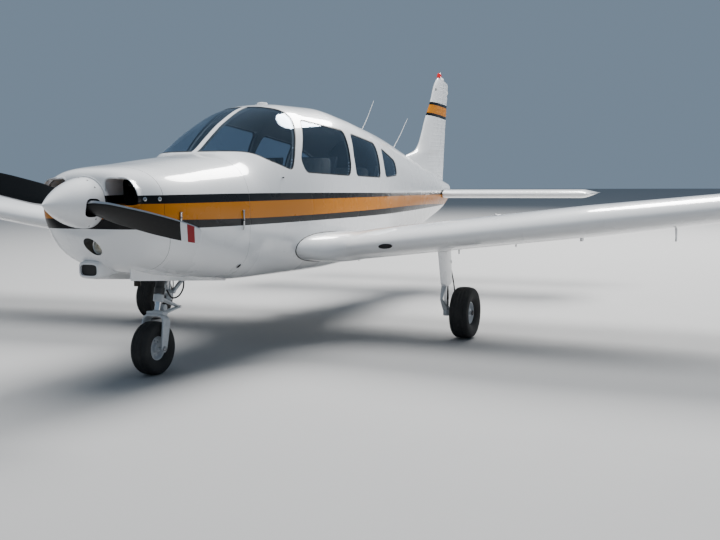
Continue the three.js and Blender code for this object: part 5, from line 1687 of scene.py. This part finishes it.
at, normal = skin_point(3.2, 1.215, -1)
fitting(oval_plate("handle_plate", at, normal, [0, 1, 0], 0.08, 0.024, 0.002), dark_trim,
        "cabin_door")
grip_low, _ = skin_point(3.135, 1.215, -1, 0.006)
grip_top, _ = skin_point(3.265, 1.215, -1, 0.006)
grip_middle = at + normal * 0.022
fitting(bar(through([grip_low, grip_middle - [0, 0.03, 0], grip_middle + [0, 0.03, 0], grip_top], 20),
            [0, 0, 1], 0.018, 0.008), chrome, "cabin_door", "door_handle")
at, normal = skin_point(3.05, 1.89, -1)
fitting(oval_plate("roof_latch", at, normal, [0, 1, 0], 0.042, 0.016, 0.004, 0.003), bare_metal,
        "cabin_door")
at, normal = skin_point(4.44, 1.13, -1)
fitting(oval_plate("baggage_lock", at, normal, [0, 1, 0], 0.03, 0.024, 0.003, 0.002), bare_metal,
        "baggage_door")
# Boarding step behind the right wing
fitting(bar(bent([[-0.4, 4.35, 0.73], [-0.44, 4.38, 0.52], [-0.5, 4.4, 0.52]], 0.03), [0, 1, 0], 0.03,
            0.012), gear_enamel, name="step_leg")
fitting(bar([[-0.45, 4.4, 0.515], [-0.51, 4.4, 0.515], [-0.57, 4.4, 0.515]], [0, 1, 0], 0.11, 0.016),
        dark_enamel, name="step_tread")


# Cabin: padded seats, instrument panel and yokes
def fabric(name, colour, dark):
    """Woven cloth: threads over and under each other every 3 mm, with a little fading in patches."""
    made = Finish(name, colour, 0.85, Sheen_Weight=0.4)
    x, station, height = made.place()
    worn = made.noise(7.0, 4.0)
    made.feed("Base Color", made.blend(worn.ramp(0.35, 0.75), colour, dark))
    weave = (x * 2094.0).sine() * ((station + height) * 2094.0).sine()
    made.feed("Roughness", worn * 0.1 + 0.8)
    return made.bump(weave + worn, 0.0005, 0.6).material


def hide(name, colour):
    """Grained vinyl: fine pebbles, and a duller tone where it is rubbed."""
    made = Finish(name, colour, 0.5, Coat_Weight=0.1)
    rubbed = made.noise(9.0, 4.0)
    made.feed("Base Color", made.blend(rubbed.ramp(0.4, 0.8), colour,
                                       tuple(0.7 * part for part in colour)))
    made.feed("Roughness", rubbed * 0.2 + 0.42)
    return made.bump(made.noise(380.0, 3.0), 0.0006, 0.6).material


CHANNEL_DEPTH, CHANNEL_WIDTH = 0.01, 0.009
SEWN = 0.25
CLOTH_FRAMES, CLOTH_PRESSURE = 20, 4.0


def pad_point(frame, across, along, thick, turn, channels=0):
    """A cushion's skin. across runs from -1 to 1 over its width and turn goes round each section.
    The section is a superellipse, whose length shrinks as (1 - u^10)^(1/10) towards the sides and whose
    depth as (1 - u^4)^(1/3), so the face is crowned; its underside is squarer. Sewn channels run along
    the crowned face: each takes a bite whose depth falls off as exp(-(d / width)^2)."""
    origin, side, length, normal = (np.asarray(part, float) for part in frame)
    u = np.asarray(across, float)[:, None]
    c, s = np.cos(turn)[None], np.sin(turn)[None]
    reach = (1 - np.abs(u) ** 10) ** 0.1
    crown = (1 - np.abs(u) ** 4) ** (1 / 3)
    reach_along = along / 2 * reach * np.sign(c) * np.abs(c) ** (2 / 5)
    upper = np.where(s > 0, 2 / 2.6, 2 / 6)
    depth = thick / 2 * np.where(s > 0, crown, reach) * np.sign(s) * np.abs(s) ** upper
    half = np.linalg.norm(side)
    for number in range(1, channels + 1):
        line = -1 + 2 * number / (channels + 1)
        away = (u - line) * half
        bite = CHANNEL_DEPTH * np.exp(-(away / CHANNEL_WIDTH) ** 2)
        depth = depth - np.where(s > 0, bite * np.abs(s) ** 0.5, 0)
    return origin + u[..., None] * side + reach_along[..., None] * length + depth[..., None] * normal


def pad(name, frame, along, thick, channels, node, cap=0.006):
    """A cushion or back: its skin, its cloth pass, and a piped cord round the edge of its crowned
    face."""
    turn = 2 * math.pi * np.arange(72) / 72
    across = np.sin(np.linspace(-math.pi / 2, math.pi / 2, 64))
    across[[0, -1]] = -0.9995, 0.9995
    made = skin(name, pad_point(frame, across, along, thick, turn, channels))
    puffed(made, cap)
    show(made, "airframe", seat_cloth, node, 60)
    edges = ((across[1:-1], SEWN), (across[1:-1][::-1], math.pi - SEWN))
    rim = np.concatenate([pad_point(frame, order, along, thick, np.array([angle]))[:, 0]
                          for order, angle in edges])
    cord = ring_along(rim, 0.0035, 8)
    show(cord, "airframe", seat_vinyl, name=name + "_piping")


def puffed(piece, cap):
    """Swells a cushion as cloth under pressure, then limits how far each point has moved to cap."""
    mesh = piece.data
    scene = bpy.context.scene
    before = np.zeros(len(mesh.vertices) * 3)
    mesh.vertices.foreach_get("co", before)
    cloth = piece.modifiers.new("cloth", "CLOTH")
    settings = cloth.settings
    settings.quality = 5
    settings.mass = 0.3
    settings.use_pressure = True
    settings.uniform_pressure_force = CLOTH_PRESSURE
    settings.tension_stiffness = settings.compression_stiffness = 25.0
    settings.shear_stiffness, settings.bending_stiffness = 15.0, 2.0
    settings.effector_weights.gravity = 0.0
    cloth.collision_settings.use_collision = False
    cloth.collision_settings.use_self_collision = False
    cloth.point_cache.frame_start, cloth.point_cache.frame_end = 1, CLOTH_FRAMES
    for moment in range(1, CLOTH_FRAMES + 1):
        scene.frame_set(moment)
    graph = bpy.context.evaluated_depsgraph_get()
    swelled = bpy.data.meshes.new_from_object(piece.evaluated_get(graph))
    piece.modifiers.clear()
    after = np.zeros(len(swelled.vertices) * 3)
    swelled.vertices.foreach_get("co", after)
    bpy.data.meshes.remove(swelled)
    scene.frame_set(1)
    move = (after - before).reshape(-1, 3)
    far = np.linalg.norm(move, axis=1, keepdims=True)
    move *= np.minimum(1, cap / np.maximum(far, 1e-9))
    mesh.vertices.foreach_set("co", (before.reshape(-1, 3) + move).ravel())
    mesh.update()


seat_cloth = fabric("seat_cloth", (0.42, 0.37, 0.3), (0.3, 0.26, 0.21))
seat_vinyl = hide("seat_vinyl", (0.1, 0.1, 0.105))
# A pad's length and normal: cushions tip back by 2.8 degrees, backs stand 73 degrees up
LYING = ([0, 0.9988, -0.0488], [0, 0.0488, 0.9988])
UPRIGHT = ([0, 0.29, 0.957], [0, -0.957, 0.29])
SEAT_X = 0.27
for side, hand in SIDES:
    x = side * SEAT_X
    pad(f"seat_cushion_{hand}", ([x, 2.757, 1.06], [0.205, 0, 0], *LYING), 0.405, 0.094, 4,
        f"seat_pads_{hand}")
    pad(f"seat_back_{hand}", ([x, 3.002, 1.315], [0.2, 0, 0], *UPRIGHT), 0.5, 0.064, 4,
        f"seat_pads_{hand}")
pad("bench_cushion", ([0, 3.745, 1.025], [0.41, 0, 0], *LYING), 0.385, 0.092, 7, "bench_pads")
pad("bench_back", ([0, 3.955, 1.24], [0.41, 0, 0], *UPRIGHT), 0.48, 0.064, 7, "bench_pads")

dash_space = body_solid("dash_space", 1.64, 2.4, SKIN + GAP)
face = inside(block([-FAR, 2.03, 1.12], [FAR, 2.09, 1.462]), copied(dash_space, "face_space"))
show(face, "airframe", dark_trim, "instrument_panel", name="panel_face")
hood = side_prism(rounded([[1.76, 1.44], [2.12, 1.437], [2.124, 1.47], [2.06, 1.476], [1.76, 1.47]],
                          0.012, 6), -FAR, FAR)
hood.name = "glareshield"
show(inside(hood, dash_space), "airframe", seat_vinyl, "instrument_panel")

dial_black = plastic("dial_face", (0.012, 0.012, 0.013), 0.35, 500.0)
red_knob = enamel("red_knob", (0.45, 0.015, 0.012), 0.35, 0.3)
PANEL_AFT = 2.0905
NEEDLE = 2.0952
# Instruments: x, height and radius
DIALS = [
    (0.40, 1.375, 0.040), (0.30, 1.375, 0.040), (0.20, 1.375, 0.040), (0.40, 1.270, 0.040),
    (0.30, 1.215, 0.036), (0.20, 1.270, 0.040), (-0.24, 1.375, 0.030), (-0.32, 1.375, 0.030),
    (-0.40, 1.375, 0.030), (-0.40, 1.290, 0.026), (-0.20, 1.290, 0.026),
]
for x, height, radius in DIALS:
    bezel = lathed([(PANEL_AFT, radius), (2.098, radius), (2.1, radius - 0.003), (2.097, radius - 0.006),
                    (PANEL_AFT, radius - 0.006)], [x, 0, height], [0, 1, 0], 40)
    number = f"{'l' if x > 0 else 'r'}{round(abs(x) * 100)}_{round(height * 1000)}"
    show(bezel, "airframe", dark_enamel, name=f"dial_ring_{number}")
    plate = lathed([(PANEL_AFT, 0.0005), (PANEL_AFT, radius - 0.0065), (2.0935, radius - 0.0065),
                    (2.0935, 0.0005)], [x, 0, height], [0, 1, 0], 40)
    show(plate, "airframe", dial_black, name=f"dial_face_{number}")
    tilt = 40.0 * x + 7.0 * height
    hand_end = np.array([x + 0.75 * radius * math.sin(tilt), NEEDLE,
                         height + 0.75 * radius * math.cos(tilt)])
    pointer = bar([[x, NEEDLE, height], hand_end], [0, 1, 0], 0.002, 0.0035)
    show(pointer, "airframe", plain_paint, name=f"dial_hand_{number}")
for number in range(4):
    low = 1.205 + 0.062 * number
    radio = block([-0.085, PANEL_AFT, low], [0.085, 2.1, low + 0.052])
    show(radio, "airframe", dial_black, name=f"radio_{number}")
for number, tone in enumerate((dark_enamel, red_knob, dark_enamel)):
    x = 0.045 - 0.045 * number
    lever = joined(rod([x, 2.09, 1.165], [x, 2.15, 1.165], 0.005, sides=20),
                   rod([x, 2.145, 1.165], [x, 2.172, 1.165], 0.013, 0.011, sides=28))
    show(lever, "airframe", tone, name=f"engine_lever_{number}")

for side, hand in SIDES:
    x = side * SEAT_X
    column = rod([x, 2.086, 1.27], [x, 2.25, 1.27], 0.0125, sides=32)
    show(column, "airframe", steel, "instrument_panel", name=f"yoke_column_{hand}")
    grip = through(bent([[x - 0.111, 2.258, 1.357], [x - 0.111, 2.258, 1.274], [x, 2.258, 1.269],
                         [x + 0.111, 2.258, 1.274], [x + 0.111, 2.258, 1.357]], 0.035, 8), 60)
    wheel_rim = skin("grip", swept(grip, 0.0125, 20))
    show(wheel_rim, "airframe", dark_trim, "instrument_panel", name=f"yoke_{hand}")

# The cabin's floor and the firewall keep their CAD shapes
for node, finish in (("cabin_floor", carpet), ("firewall", bare_metal)):
    kept = bpy.data.objects[node].data.materials
    kept.clear()
    kept.append(finish)


# Camera, light and floor
def look_from(position, yaw, pitch, roll, focal):
    """The camera at a place in the row frame, turned from +Y to the right, down and about its own axis.
    focal is its focal length in widths of the picture."""
    ahead = np.array([-math.sin(yaw) * math.cos(pitch), math.cos(yaw) * math.cos(pitch),
                      -math.sin(pitch)])
    level = np.array([math.cos(yaw), math.sin(yaw), 0.0])
    over = np.cross(level, ahead)
    right = level * math.cos(roll) + over * math.sin(roll)
    up = -level * math.sin(roll) + over * math.cos(roll)
    lens = bpy.data.cameras.new("camera")
    lens.sensor_width, lens.lens = 36.0, 36.0 * focal
    lens.clip_end = 200.0
    camera = bpy.data.objects.new("camera", lens)
    camera.matrix_world = mathutils.Matrix([
        [right[k], up[k], -ahead[k], position[k]] for k in range(3)] + [[0, 0, 0, 1]])
    bpy.context.scene.collection.objects.link(camera)
    bpy.context.scene.camera = camera


SUNNY = (1.0, 0.985, 0.96)
LIGHT_AIM = (0, 0, 0.8)


def soft_light(name, place, size, power, glossy=True):
    lamp = bpy.data.lights.new(name, "AREA")
    lamp.shape, lamp.size, lamp.energy, lamp.color = "DISK", size, power, SUNNY
    made = bpy.data.objects.new(name, lamp)
    toward = mathutils.Vector(LIGHT_AIM) - mathutils.Vector(place)
    made.matrix_world = (mathutils.Matrix.Translation(place)
                         @ toward.to_track_quat("-Z", "Y").to_matrix().to_4x4())
    made.visible_glossy = glossy
    bpy.context.scene.collection.objects.link(made)


# The photograph's camera: its place, its yaw, pitch and roll in degrees, and its focal length in pixels
CAMERA_AT = (4.2012, -8.3681, 1.4501)
CAMERA_TURNS = (24.309, 5.897, -0.637)
FOCAL, PICTURE_WIDTH = 977.55, 720
look_from(CAMERA_AT, *(math.radians(angle) for angle in CAMERA_TURNS), FOCAL / PICTURE_WIDTH)
soft_light("key", (2.0, 15.0, 14.0), 9.0, 9000)
soft_light("top", (0.0, -1.0, 16.0), 14.0, 4200, glossy=False)

FLOOR = 60
ground = skin("floor", [[[-FLOOR, -FLOOR, z], [FLOOR, -FLOOR, z], [FLOOR, FLOOR, z], [-FLOOR, FLOOR, z]]
                        for z in (-0.02, 0.0)])
slab = Finish("pale_floor", (0.36, 0.36, 0.36), 0.85)
slab.feed("Roughness", slab.noise(2.0, 4.0) * 0.1 + 0.8)
ground.data.materials.append(slab.material)

world = bpy.data.worlds.new("studio")
bpy.context.scene.world = world
world.use_nodes = True
sky = world.node_tree.nodes["Background"].inputs
sky["Color"].default_value, sky["Strength"].default_value = (0.5, 0.68, 0.9, 1), 0.36
